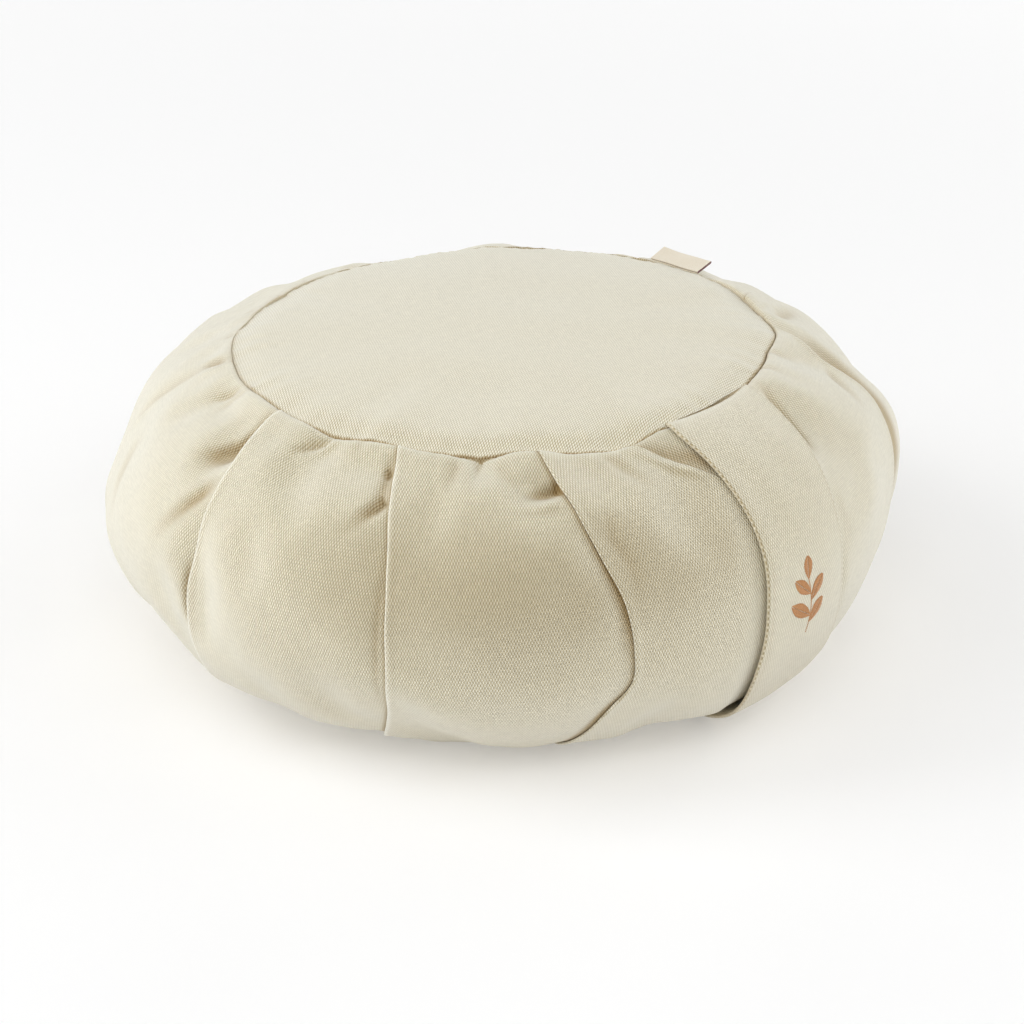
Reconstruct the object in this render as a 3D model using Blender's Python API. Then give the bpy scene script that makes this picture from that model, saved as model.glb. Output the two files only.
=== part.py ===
"""Round pleated meditation cushion with a carrying strap, in metres, +Z up.

The origin is the centre of the flat base. Azimuths are in degrees round the cushion: 0 is the front (-Y)
and 90 is the right side (+X). "Fall" runs down the side from 0 at the top seam to 1 at the base seam.
"""

import math

import bmesh
import bpy
from mathutils import Matrix, Vector

MM = 0.001

# Driving sizes
SEAM_RADIUS = 121 * MM
WIDEST_RADIUS = 178.5 * MM
SEAM_HEIGHT = 135.6 * MM
PANEL_THICKNESS = 2 * MM
PIECE_GAP = 0.3 * MM
PANEL_INSET = 0.35 * MM
TOP_CROWN = 5.6 * MM
CROWN_POWER = 2.2
RIM_FOLLOW_POWER = 3

# Shape of the filled side
BULGE = WIDEST_RADIUS - SEAM_RADIUS
BULGE_POWER = 1.6
SHOULDER_POWER = 0.8
SAG_TO_THE_LEFT = 6 * MM
SHOULDER_PUFF = 0.9 * MM
PUFF_AT_FRONT = 0.9 * MM
PUFF_FALL = 0.075
WANDER_FALL = 0.3
FLOOR_CLEARANCE = 0.3 * MM

# Knife pleats, left to right. The folded edge passes through these azimuths at the fall stations below.
# faces: -1 where the fold points left, 1 where it points right. tuck: how far the cloth goes back under
# the fold. lift: how far the upper layer stands up. dip: how far the lower layer sinks beside the fold.
# full: how far the panel to the right of the fold fills out.
FALL_STATIONS = (0.0, 0.2, 0.4, 0.6, 0.8, 1.0)
PLEATS = (
    {"edge": (-154.0, -155.0, -156.0, -156.0, -155.5, -155.0), "faces": -1,
     "tuck": 7 * MM, "lift": 1.2 * MM, "dip": 2.2 * MM, "full": 2.6 * MM},
    {"edge": (-120.0, -118.0, -117.0, -117.0, -117.5, -118.0), "faces": -1,
     "tuck": 7 * MM, "lift": 1.2 * MM, "dip": 2.0 * MM, "full": 2.6 * MM},
    {"edge": (-85.0, -82.0, -80.5, -80.0, -80.0, -81.0), "faces": -1,
     "tuck": 6 * MM, "lift": 1.0 * MM, "dip": 2.0 * MM, "full": 2.0 * MM},
    {"edge": (-52.5, -50.5, -48.2, -49.0, -49.5, -50.5), "faces": -1,
     "tuck": 8 * MM, "lift": 1.5 * MM, "dip": 3.4 * MM, "full": 2.2 * MM},
    {"edge": (-21.0, -18.6, -16.0, -16.4, -17.5, -19.0), "faces": -1,
     "tuck": 7 * MM, "lift": 1.6 * MM, "dip": 1.4 * MM, "full": 2.0 * MM},
    {"edge": (6.8, 10.8, 15.8, 14.6, 8.5, 5.0), "faces": -1,
     "tuck": 10 * MM, "lift": 2.4 * MM, "dip": 3.6 * MM, "full": 1.8 * MM},
    {"edge": (25.0, 34.5, 42.0, 44.0, 44.0, 43.5), "faces": 1,
     "tuck": 9 * MM, "lift": 1.6 * MM, "dip": 3.2 * MM, "full": 0.0 * MM},
    {"edge": (62.0, 57.0, 52.5, 51.5, 51.5, 52.5), "faces": 1,
     "tuck": 7 * MM, "lift": 0.8 * MM, "dip": 2.0 * MM, "full": 2.4 * MM},
    {"edge": (96.5, 91.5, 89.5, 89.0, 89.0, 90.0), "faces": 1,
     "tuck": 9 * MM, "lift": 1.6 * MM, "dip": 3.0 * MM, "full": 3.4 * MM},
    {"edge": (107.0, 116.0, 118.5, 119.0, 119.0, 118.0), "faces": 1,
     "tuck": 7 * MM, "lift": 1.4 * MM, "dip": 2.4 * MM, "full": 2.6 * MM},
    {"edge": (147.0, 147.5, 148.0, 148.5, 148.0, 147.5), "faces": 1,
     "tuck": 7 * MM, "lift": 1.2 * MM, "dip": 2.2 * MM, "full": 2.6 * MM},
    {"edge": (174.0, 175.0, 176.0, 176.0, 175.5, 175.0), "faces": 1,
     "tuck": 7 * MM, "lift": 1.2 * MM, "dip": 2.2 * MM, "full": 2.4 * MM},
)
LIFT_REACH = 9 * MM
DIP_REACH = 17 * MM
LIP_THICKNESS = 1.2 * MM
CREVICE_GAP = 0.7 * MM
SEAM_FOLD_PITCH = 0.5 * MM
TUCK_RAMP = 0.05
LIFT_RAMP = 0.24
DIP_RAMP = 0.13
FULLNESS_POWER = 1.2
PANEL_ROUNDNESS = 1.2
LIP_SHARE = 0.4
GAP_SHARE = 0.25
TUCK_TURN = 0.6

# Hand-placed hollows in the side: where, how wide and long, and how deep.
HOLLOWS = (
    {"azimuth": 7.0, "fall": 0.175, "half_width": 5.5, "half_length": 0.045, "depth": 3.6 * MM},
    {"azimuth": -56.0, "fall": 0.20, "half_width": 6.0, "half_length": 0.10, "depth": 2.2 * MM},
    {"azimuth": 61.5, "fall": 0.23, "half_width": 5.0, "half_length": 0.10, "depth": 2.4 * MM},
    {"azimuth": 32.0, "fall": 0.09, "half_width": 5.5, "half_length": 0.05, "depth": 2.2 * MM},
    {"azimuth": -36.0, "fall": 0.07, "half_width": 3.5, "half_length": 0.06, "depth": 1.6 * MM},
    {"azimuth": -4.5, "fall": 0.07, "half_width": 3.0, "half_length": 0.05, "depth": 1.6 * MM},
    {"azimuth": -70.0, "fall": 0.08, "half_width": 5.0, "half_length": 0.07, "depth": 1.6 * MM},
    {"azimuth": -100.0, "fall": 0.10, "half_width": 6.0, "half_length": 0.08, "depth": 1.6 * MM},
    {"azimuth": 80.0, "fall": 0.10, "half_width": 5.0, "half_length": 0.08, "depth": 1.4 * MM},
    {"azimuth": 132.0, "fall": 0.10, "half_width": 6.0, "half_length": 0.08, "depth": 1.6 * MM},
    {"azimuth": 161.0, "fall": 0.09, "half_width": 5.0, "half_length": 0.07, "depth": 1.6 * MM},
    {"azimuth": -170.0, "fall": 0.10, "half_width": 5.0, "half_length": 0.08, "depth": 1.6 * MM},
    {"azimuth": -138.0, "fall": 0.10, "half_width": 6.0, "half_length": 0.08, "depth": 1.6 * MM},
    {"azimuth": 136.5, "fall": 0.06, "half_width": 9.0, "half_length": 0.05, "depth": 1.6 * MM},
)

# Broad unevenness of the filling, full where height is positive and slack where it is negative.
SWELLS = (
    {"azimuth": -88.0, "fall": 0.52, "half_width": 22.0, "half_length": 0.12, "height": 4.0 * MM},
    {"azimuth": -96.0, "fall": 0.42, "half_width": 9.0, "half_length": 0.06, "height": -2.4 * MM},
    {"azimuth": -80.0, "fall": 0.34, "half_width": 12.0, "half_length": 0.08, "height": -2.0 * MM},
    {"azimuth": -65.0, "fall": 0.62, "half_width": 11.0, "half_length": 0.11, "height": -6.5 * MM},
    {"azimuth": -42.0, "fall": 0.72, "half_width": 10.0, "half_length": 0.09, "height": -2.4 * MM},
    {"azimuth": -25.0, "fall": 0.78, "half_width": 26.0, "half_length": 0.13, "height": -3.4 * MM},
    {"azimuth": 30.0, "fall": 0.72, "half_width": 10.0, "half_length": 0.10, "height": 2.0 * MM},
    {"azimuth": 48.0, "fall": 0.76, "half_width": 14.0, "half_length": 0.12, "height": 2.6 * MM},
    {"azimuth": 86.0, "fall": 0.44, "half_width": 12.0, "half_length": 0.09, "height": 2.6 * MM},
    {"azimuth": 98.0, "fall": 0.33, "half_width": 8.0, "half_length": 0.07, "height": -2.6 * MM},
    {"azimuth": 72.0, "fall": 0.56, "half_width": 18.0, "half_length": 0.14, "height": -4.2 * MM},
    {"azimuth": 112.0, "fall": 0.26, "half_width": 18.0, "half_length": 0.14, "height": -6.0 * MM},
    {"azimuth": 141.0, "fall": 0.22, "half_width": 12.0, "half_length": 0.10, "height": -2.6 * MM},
    {"azimuth": -155.0, "fall": 0.13, "half_width": 14.0, "half_length": 0.10, "height": -3.4 * MM},
    {"azimuth": 160.0, "fall": 0.13, "half_width": 16.0, "half_length": 0.10, "height": -1.4 * MM},
)

# The top seam wanders a little where the pleats pull on it: outward and upward offsets by azimuth.
SEAM_WANDER = (
    {"azimuth": -163.0, "out": -0.8 * MM, "up": -1.4 * MM},
    {"azimuth": -148.0, "out": -0.6 * MM, "up": -1.2 * MM},
    {"azimuth": -119.0, "out": -1.0 * MM, "up": -0.8 * MM},
    {"azimuth": -105.0, "out": -1.4 * MM, "up": 0.2 * MM},
    {"azimuth": -94.0, "out": 1.0 * MM, "up": 0.4 * MM},
    {"azimuth": -72.0, "out": 0.2 * MM, "up": -0.2 * MM},
    {"azimuth": -58.0, "out": -1.0 * MM, "up": 1.0 * MM},
    {"azimuth": -44.0, "out": 0.3 * MM, "up": 0.4 * MM},
    {"azimuth": -36.0, "out": 0.9 * MM, "up": -0.6 * MM},
    {"azimuth": -25.0, "out": -0.8 * MM, "up": 1.2 * MM},
    {"azimuth": -14.0, "out": 0.4 * MM, "up": -0.3 * MM},
    {"azimuth": -5.0, "out": 1.8 * MM, "up": -0.8 * MM},
    {"azimuth": 4.5, "out": -1.2 * MM, "up": 1.0 * MM},
    {"azimuth": 15.0, "out": 1.6 * MM, "up": -0.8 * MM},
    {"azimuth": 24.0, "out": 2.6 * MM, "up": -1.6 * MM},
    {"azimuth": 35.0, "out": -1.2 * MM, "up": 0.8 * MM},
    {"azimuth": 53.0, "out": -1.0 * MM, "up": 0.2 * MM},
    {"azimuth": 66.0, "out": -2.4 * MM, "up": 0.4 * MM},
    {"azimuth": 81.0, "out": -1.2 * MM, "up": 0.0 * MM},
    {"azimuth": 94.0, "out": 2.6 * MM, "up": 0.2 * MM},
    {"azimuth": 106.0, "out": 0.0 * MM, "up": -0.6 * MM},
    {"azimuth": 118.0, "out": 1.4 * MM, "up": 0.8 * MM},
    {"azimuth": 145.0, "out": 0.4 * MM, "up": 0.4 * MM},
    {"azimuth": 163.0, "out": -0.8 * MM, "up": -0.8 * MM},
    {"azimuth": 180.0, "out": 0.6 * MM, "up": 0.6 * MM},
)

# Carrying strap: azimuths of its two long edges and its stand-off from the side along the fall.
STRAP_THICKNESS = 2 * MM
STRAP_ROWS = (
    {"fall": 0.012, "left": 36.4, "right": 63.2, "left_off": 0.5 * MM, "right_off": 0.5 * MM},
    {"fall": 0.100, "left": 37.2, "right": 62.2, "left_off": 1.4 * MM, "right_off": 1.4 * MM},
    {"fall": 0.200, "left": 37.8, "right": 59.2, "left_off": 2.2 * MM, "right_off": 2.0 * MM},
    {"fall": 0.300, "left": 38.0, "right": 56.4, "left_off": 3.2 * MM, "right_off": 2.2 * MM},
    {"fall": 0.400, "left": 37.7, "right": 54.4, "left_off": 3.8 * MM, "right_off": 2.2 * MM},
    {"fall": 0.500, "left": 37.5, "right": 54.0, "left_off": 4.2 * MM, "right_off": 2.2 * MM},
    {"fall": 0.600, "left": 37.3, "right": 54.4, "left_off": 4.4 * MM, "right_off": 2.2 * MM},
    {"fall": 0.700, "left": 37.6, "right": 55.6, "left_off": 4.4 * MM, "right_off": 2.2 * MM},
    {"fall": 0.800, "left": 38.2, "right": 57.8, "left_off": 3.8 * MM, "right_off": 2.2 * MM},
    {"fall": 0.900, "left": 38.6, "right": 60.6, "left_off": 2.4 * MM, "right_off": 1.8 * MM},
    {"fall": 0.965, "left": 38.8, "right": 62.2, "left_off": 1.0 * MM, "right_off": 0.9 * MM},
)
STRAP_STEPS_ALONG = 30
STRAP_STEPS_ACROSS = 6

# Folded woven tab in the top seam at the rear right
LABEL_AZIMUTH = 136.5
LABEL_WIDTH = 29 * MM
LABEL_LENGTH = 11 * MM
LABEL_THICKNESS = 1.6 * MM
LABEL_FOLD_RADIUS = 0.72 * MM
LABEL_FOLD_STEPS = 3
LABEL_RISE = math.radians(12.0)
LABEL_ROOT_OUT = 0.5 * MM
LABEL_ROOT_UP = 0.2 * MM

# Mesh steps
SIDE_ROWS = 21
ROW_CLUSTER = 0.45
COLUMN_CLUSTER = 0.4
DEGREES_PER_COLUMN = 2.9
FEWEST_COLUMNS = 4
WELD = 0.0001 * MM
SHARP_ANGLE = 50.0
RECESS_WALL_LEAN = 0.1 * MM
TOP_SHARES = (1.0, 0.97, 0.92, 0.84, 0.70, 0.45, 0.0)
BASE_COLUMNS = 72
BASE_SHARES = (1.0, 0.5, 0.0)
RIM_TURN_DOWN = 3.0 * MM
RIM_TURN_REACH = 8 * MM
DIMPLE_DEPTH = 0.8 * MM
DIMPLE_HALF_WIDTH = 5.0
DIMPLE_INNER_SHARE = 0.72

CANVAS_COLOUR = (0.72, 0.66, 0.52, 1.0)
STRAP_COLOUR = (0.70, 0.64, 0.50, 1.0)
LABEL_COLOUR = (0.78, 0.70, 0.60, 1.0)
CLOTH_ROUGHNESS = 0.9


def clear_scene():
    """Remove every object, so that the script starts from nothing."""
    for old in list(bpy.data.objects):
        bpy.data.objects.remove(old, do_unlink=True)


def fabric(name, colour):
    """A matt cloth material."""
    material = bpy.data.materials.new(name)
    material.use_nodes = True
    shader = material.node_tree.nodes["Principled BSDF"]
    shader.inputs["Base Color"].default_value = colour
    shader.inputs["Roughness"].default_value = CLOTH_ROUGHNESS
    shader.inputs["Metallic"].default_value = 0.0
    return material


def turn_between(first, second):
    """Signed degrees from the first azimuth to the second, the short way round."""
    return (second - first + 180.0) % 360.0 - 180.0


def smooth_step(value):
    """Ease from 0 to 1."""
    clamped = min(1.0, max(0.0, value))
    return clamped * clamped * (3.0 - 2.0 * clamped)


def through(stations, values, at):
    """Smooth curve through the values given at rising stations."""
    last = len(stations) - 1
    step = 0
    while step < last - 1 and at > stations[step + 1]:
        step += 1
    start, end = stations[step], stations[step + 1]
    share = (at - start) / (end - start)
    before = values[max(step - 1, 0)]
    after = values[min(step + 2, last)]
    a, b = values[step], values[step + 1]
    slope_a = (b - before) / 2.0 if step > 0 else b - a
    slope_b = (after - a) / 2.0 if step + 1 < last else b - a
    square, cube = share ** 2, share ** 3
    return (
        (2 * cube - 3 * square + 1) * a
        + (cube - 2 * square + share) * slope_a
        + (3 * square - 2 * cube) * b
        + (cube - square) * slope_b
    )


def seam_wander(azimuth):
    """Outward and upward offset of the top seam at an azimuth, eased between the table's rows."""
    for row, following in zip(SEAM_WANDER, SEAM_WANDER[1:] + SEAM_WANDER[:1]):
        span = (following["azimuth"] - row["azimuth"]) % 360.0
        reach = (azimuth - row["azimuth"]) % 360.0
        if reach <= span:
            share = smooth_step(reach / span)
            out = row["out"] + share * (following["out"] - row["out"])
            up = row["up"] + share * (following["up"] - row["up"])
            return out, up
    raise ValueError(f"no seam row reaches azimuth {azimuth}")


def seam_top(azimuth):
    """Radius and height of the top sewing line."""
    out, up = seam_wander(azimuth)
    return SEAM_RADIUS + out, SEAM_HEIGHT + up


def bump_sum(rows, azimuth, fall, size):
    """Sum of the rows' soft bumps at this place, by the column that holds their size."""
    total = 0.0
    for row in rows:
        across = turn_between(row["azimuth"], azimuth) / row["half_width"]
        along = (fall - row["fall"]) / row["half_length"]
        total += row[size] * math.exp(-(across ** 2) - along ** 2)
    return total


def radius_at(fall):
    """Plain radius of the side at this fall."""
    return SEAM_RADIUS + BULGE * max(math.sin(math.pi * fall), 0.0) ** BULGE_POWER


def side_point(azimuth, fall, stand_out=0.0):
    """Point on the filled side, raised by stand_out along the outward direction."""
    turn = math.radians(azimuth)
    sweep = math.pi * fall
    sine, cosine = math.sin(sweep), math.cos(sweep)
    near_top = smooth_step(1.0 - fall / WANDER_FALL)
    out, up = seam_wander(azimuth)
    radius = radius_at(fall) + out * near_top
    half = SEAM_HEIGHT / 2.0
    height = half + half * math.copysign(abs(cosine) ** SHOULDER_POWER, cosine) + up * near_top
    height += SAG_TO_THE_LEFT * math.sin(turn) * sine ** 2
    puff = SHOULDER_PUFF + PUFF_AT_FRONT * math.cos(turn)
    raised = stand_out + puff * (fall / PUFF_FALL) * math.exp(1.0 - fall / PUFF_FALL)
    raised += bump_sum(SWELLS, azimuth, fall, "height")
    radius += raised * sine
    height += raised * cosine
    height = max(height, FLOOR_CLEARANCE)
    return Vector((radius * math.sin(turn), -radius * math.cos(turn), height))


def pleat_edge(pleat, fall):
    """Azimuth of a pleat's folded edge at this fall."""
    return through(FALL_STATIONS, pleat["edge"], fall)


def strength_by(fall, reach):
    """Nothing at the two seams and all at this reach from them."""
    return smooth_step(min(fall, 1.0 - fall) / reach)


def degrees_of(length, fall):
    """Degrees of azimuth that a length round the side takes up."""
    return math.degrees(length / radius_at(fall))


def step_at(pleat, fall):
    """Lift of the upper layer and dip of the lower layer beside a fold at this fall."""
    return pleat["lift"] * strength_by(fall, LIFT_RAMP), pleat["dip"] * strength_by(fall, DIP_RAMP)


def fold_columns(pleat, fall):
    """The columns that go round one fold, left to right, as (azimuth, stand_out)."""
    opened = strength_by(fall, TUCK_RAMP)
    lift, dip = step_at(pleat, fall)
    lip = min(LIP_THICKNESS, LIP_SHARE * (lift + dip))
    gap = min(CREVICE_GAP, GAP_SHARE * (lift + dip))
    tuck = pleat["tuck"]
    turns = (
        (0.0, -dip),
        (TUCK_TURN * tuck, -dip - gap),
        (tuck, -dip - gap / 2.0),
        (TUCK_TURN * tuck, -dip),
        (LIP_THICKNESS, lift - lip),
        (0.0, lift - lip / 2.0),
        (LIP_THICKNESS, lift),
    )
    edge = pleat_edge(pleat, fall)
    columns = []
    for order, (reach, stand_out) in enumerate(turns):
        sewn = (order - (len(turns) - 1) / 2.0) * SEAM_FOLD_PITCH
        across = sewn + opened * (reach - sewn)
        turned = -pleat["faces"] * degrees_of(across, fall)
        columns.append((edge + turned, stand_out))
    if pleat["faces"] > 0:
        columns.reverse()
    return columns


def beside_fold(pleat, distance, is_upper, fall):
    """What a fold adds to the panel beside it at this distance from the folded edge."""
    lift, dip = step_at(pleat, fall)
    if is_upper:
        return lift * math.exp(-distance / LIFT_REACH)
    return -dip * math.exp(-((distance / DIP_REACH) ** 2))


def panel_columns(pleat, following, count, fall):
    """The columns between two folds, left to right, as (azimuth, stand_out)."""
    first = fold_columns(pleat, fall)[-1][0]
    last = first + turn_between(first, fold_columns(following, fall)[0][0]) % 360.0
    circle = radius_at(fall)
    bow = max(math.sin(math.pi * fall), 0.0) ** FULLNESS_POWER
    columns = []
    for step in range(1, count):
        even = step / count
        eased = 0.5 - 0.5 * math.cos(math.pi * even)
        share = (1.0 - COLUMN_CLUSTER) * even + COLUMN_CLUSTER * eased
        azimuth = first + share * (last - first)
        from_first = math.radians(azimuth - first) * circle
        to_last = math.radians(last - azimuth) * circle
        stand_out = pleat["full"] * bow * math.sin(math.pi * share) ** PANEL_ROUNDNESS
        stand_out += beside_fold(pleat, from_first, pleat["faces"] < 0, fall)
        stand_out += beside_fold(following, to_last, following["faces"] > 0, fall)
        columns.append((azimuth, stand_out))
    return columns


def side_ring(fall, counts):
    """One ring of points round the side, left to right."""
    ring = []
    for order, pleat in enumerate(PLEATS):
        following = PLEATS[(order + 1) % len(PLEATS)]
        columns = fold_columns(pleat, fall)
        columns += panel_columns(pleat, following, counts[order], fall)
        for azimuth, stand_out in columns:
            sunk = stand_out - bump_sum(HOLLOWS, azimuth, fall, "depth") * strength_by(fall, TUCK_RAMP)
            ring.append(side_point(azimuth, fall, sunk))
    return ring


def side_falls():
    """Falls of the rings, closer together towards the seams."""
    falls = []
    for step in range(SIDE_ROWS + 1):
        even = step / SIDE_ROWS
        eased = 0.5 - 0.5 * math.cos(math.pi * even)
        falls.append((1.0 - ROW_CLUSTER) * even + ROW_CLUSTER * eased)
    return falls


def columns_between():
    """How many columns each panel takes at its widest."""
    counts = []
    for order, pleat in enumerate(PLEATS):
        following = PLEATS[(order + 1) % len(PLEATS)]
        width = (pleat_edge(following, 0.5) - pleat_edge(pleat, 0.5)) % 360.0
        counts.append(max(FEWEST_COLUMNS, round(width / DEGREES_PER_COLUMN)))
    return counts


def plain_top_height(azimuth, share):
    """Height of the top panel's upper face without its dimples."""
    radius, rim = seam_top(azimuth)
    crown = TOP_CROWN * (1.0 - share ** CROWN_POWER)
    from_rim = (1.0 - share) * radius
    turned_down = RIM_TURN_DOWN * math.exp(-((from_rim / RIM_TURN_REACH) ** 2))
    level = SEAM_HEIGHT + share ** RIM_FOLLOW_POWER * (rim - SEAM_HEIGHT)
    return level + RIM_TURN_DOWN + crown - turned_down


def dimple_reach(share):
    """How much of a dimple's depth shows at this share: all at the seam, none well inside it."""
    return DIMPLE_DEPTH * smooth_step((share - DIMPLE_INNER_SHARE) / (1.0 - DIMPLE_INNER_SHARE))


def top_height(azimuth, share):
    """Height of the top panel's upper face at a share of the way from its centre to the seam."""
    pulled = 0.0
    for pleat in PLEATS:
        across = turn_between(pleat["edge"][0], azimuth) / DIMPLE_HALF_WIDTH
        pulled = max(pulled, math.exp(-(across ** 2)))
    return plain_top_height(azimuth, share) - pulled * dimple_reach(share)


def panel_floor(azimuth, share):
    """Height of the filled side under the top panel, clear of the panel's dimples."""
    return plain_top_height(azimuth, share) - dimple_reach(share) - PANEL_THICKNESS - PIECE_GAP


def wrapped_skin(rings):
    """A skin over closed rings of points: a flat grid laid over them and welded where it meets."""
    around = len(rings[0])
    along = len(rings) - 1
    skin = bmesh.new()
    bmesh.ops.create_grid(skin, x_segments=around, y_segments=along, size=1.0)
    for vertex in skin.verts:
        column = round((vertex.co.x + 1.0) / 2.0 * around) % around
        row = round((vertex.co.y + 1.0) / 2.0 * along)
        vertex.co = rings[row][column]
    bmesh.ops.remove_doubles(skin, verts=skin.verts, dist=WELD)
    return skin


def to_node(name, skin, material):
    """Turn the faces outwards, split them into triangles and link the mesh as one node."""
    bmesh.ops.recalc_face_normals(skin, faces=skin.faces)
    bmesh.ops.triangulate(skin, faces=skin.faces)
    mesh = bpy.data.meshes.new(name)
    skin.to_mesh(mesh)
    skin.free()
    mesh.shade_smooth()
    mesh.set_sharp_from_angle(angle=math.radians(SHARP_ANGLE))
    mesh.materials.append(material)
    piece = bpy.data.objects.new(name, mesh)
    bpy.context.scene.collection.objects.link(piece)
    return piece


def polar_point(azimuth, radius, height):
    """Point at an azimuth, a radius and a height."""
    turn = math.radians(azimuth)
    return Vector((radius * math.sin(turn), -radius * math.cos(turn), height))


def azimuth_of(place):
    """Azimuth of a point."""
    return math.degrees(math.atan2(place.x, -place.y))


def build_side_band(material):
    """The filled side: pleated wall, recess for the top panel and flat underside above the base panel."""
    counts = columns_between()
    wall = [side_ring(fall, counts) for fall in side_falls()]
    azimuths = [azimuth_of(place) for place in wall[0]]
    seams = [seam_top(azimuth) for azimuth in azimuths]
    below_panel = PANEL_THICKNESS + PIECE_GAP
    recess = [[Vector((0.0, 0.0, top_height(0.0, 0.0) - below_panel))] * len(azimuths)]
    for share in reversed(TOP_SHARES[1:-1]):
        recess.append([
            polar_point(azimuth, share * seam[0], panel_floor(azimuth, share))
            for azimuth, seam in zip(azimuths, seams)
        ])
    recess.append([
        polar_point(azimuth, seam[0] - RECESS_WALL_LEAN, panel_floor(azimuth, 1.0))
        for azimuth, seam in zip(azimuths, seams)
    ])
    underside = []
    for share in (1.0,) + BASE_SHARES[1:-1]:
        radius = share * (SEAM_RADIUS - RECESS_WALL_LEAN)
        underside.append([polar_point(azimuth_of(place), radius, below_panel) for place in wall[-1]])
    underside.append([Vector((0.0, 0.0, below_panel))] * len(azimuths))
    return to_node("side_band", wrapped_skin(recess + wall + underside), material)


def top_point(azimuth, share, raised):
    """Point on the top panel, a little inside the sewing line at its rim."""
    radius = share * (seam_top(azimuth)[0] - PANEL_INSET)
    height = top_height(azimuth, share) if share > 0.0 else plain_top_height(azimuth, 0.0)
    return polar_point(azimuth, radius, height + raised)


def build_top_panel(material):
    """The crowned round panel on top, inside the seam."""
    counts = columns_between()
    azimuths = []
    for order, pleat in enumerate(PLEATS):
        following = PLEATS[(order + 1) % len(PLEATS)]
        azimuths.append(pleat_edge(pleat, 0.0))
        azimuths += [azimuth for azimuth, _ in panel_columns(pleat, following, counts[order], 0.0)]
    upper = [[top_point(azimuth, share, 0.0) for azimuth in azimuths] for share in TOP_SHARES]
    lower = [
        [top_point(azimuth, share, -PANEL_THICKNESS) for azimuth in azimuths] for share in TOP_SHARES
    ]
    return to_node("top_panel", wrapped_skin(upper[::-1] + lower), material)


def build_base_panel(material):
    """The flat round panel that the cushion rests on."""
    azimuths = [360.0 * step / BASE_COLUMNS for step in range(BASE_COLUMNS)]
    rim = SEAM_RADIUS - PANEL_INSET
    upper = [
        [polar_point(azimuth, share * rim, PANEL_THICKNESS) for azimuth in azimuths]
        for share in reversed(BASE_SHARES)
    ]
    lower = [
        [polar_point(azimuth, share * rim, 0.0) for azimuth in azimuths] for share in BASE_SHARES
    ]
    return to_node("base_panel", wrapped_skin(upper + lower), material)


def strap_row(fall):
    """Edge azimuths and stand-offs of the strap at this fall."""
    falls = [row["fall"] for row in STRAP_ROWS]
    names = ("left", "right", "left_off", "right_off")
    return {name: through(falls, [row[name] for row in STRAP_ROWS], fall) for name in names}


def build_carry_strap(material):
    """The wide strap from the top seam to the base seam, a loop of section swept down the side."""
    first, last = STRAP_ROWS[0]["fall"], STRAP_ROWS[-1]["fall"]
    rings = []
    for step in range(STRAP_STEPS_ALONG + 1):
        fall = first + (last - first) * step / STRAP_STEPS_ALONG
        row = strap_row(fall)
        under = []
        over = []
        for across in range(STRAP_STEPS_ACROSS + 1):
            share = across / STRAP_STEPS_ACROSS
            azimuth = row["left"] + share * (row["right"] - row["left"])
            stand_out = row["left_off"] + share * (row["right_off"] - row["left_off"])
            under.append(side_point(azimuth, fall, stand_out))
            over.append(side_point(azimuth, fall, stand_out + STRAP_THICKNESS))
        rings.append(under + over[::-1])
    skin = wrapped_skin(rings)
    bmesh.ops.holes_fill(skin, edges=skin.edges, sides=0)
    return to_node("carry_strap", skin, material)


def build_side_label(material):
    """The folded tab that stands out of the top seam, leaning outwards."""
    radius, height = seam_top(LABEL_AZIMUTH)
    skin = bmesh.new()
    bmesh.ops.create_cube(skin, size=1.0)
    bmesh.ops.scale(skin, vec=(LABEL_WIDTH, LABEL_LENGTH, LABEL_THICKNESS), verts=skin.verts)
    bmesh.ops.translate(skin, vec=(0.0, -LABEL_LENGTH / 2.0, LABEL_THICKNESS / 2.0), verts=skin.verts)
    folded = [edge for edge in skin.edges if all(v.co.y < -LABEL_LENGTH / 2.0 for v in edge.verts)]
    across = [edge for edge in folded if abs(edge.verts[0].co.x - edge.verts[1].co.x) > LABEL_THICKNESS]
    bmesh.ops.bevel(
        skin, geom=across, offset=LABEL_FOLD_RADIUS, segments=LABEL_FOLD_STEPS, profile=0.5,
        affect="EDGES", material=-1,
    )
    bmesh.ops.rotate(skin, cent=(0, 0, 0), matrix=Matrix.Rotation(-LABEL_RISE, 3, "X"), verts=skin.verts)
    bmesh.ops.translate(
        skin, vec=(0.0, -radius - LABEL_ROOT_OUT, height + LABEL_ROOT_UP), verts=skin.verts
    )
    turned = Matrix.Rotation(math.radians(LABEL_AZIMUTH), 3, "Z")
    bmesh.ops.rotate(skin, cent=(0, 0, 0), matrix=turned, verts=skin.verts)
    return to_node("side_label", skin, material)


def main():
    """Build the cushion's five pieces."""
    clear_scene()
    canvas = fabric("canvas", CANVAS_COLOUR)
    build_side_band(canvas)
    build_top_panel(fabric("top_canvas", CANVAS_COLOUR))
    build_base_panel(fabric("base_canvas", CANVAS_COLOUR))
    build_carry_strap(fabric("strap_canvas", STRAP_COLOUR))
    build_side_label(fabric("woven_tab", LABEL_COLOUR))


main()
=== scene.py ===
"""Looks of the round pleated meditation cushion, in metres, +Z up.

Azimuths are in degrees round the cushion: 0 is the front (-Y) and 90 is the right side (+X). "Fall" runs down
the side from 0 at the top seam to 1 at the base seam. The canvas band, the panels, the carrying strap and the
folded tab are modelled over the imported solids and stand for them.
"""

import logging
import math
from dataclasses import dataclass, field
from enum import Enum

import bmesh
import bpy
import numpy as np
from mathutils import Matrix, Vector
from mathutils.kdtree import KDTree


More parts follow.
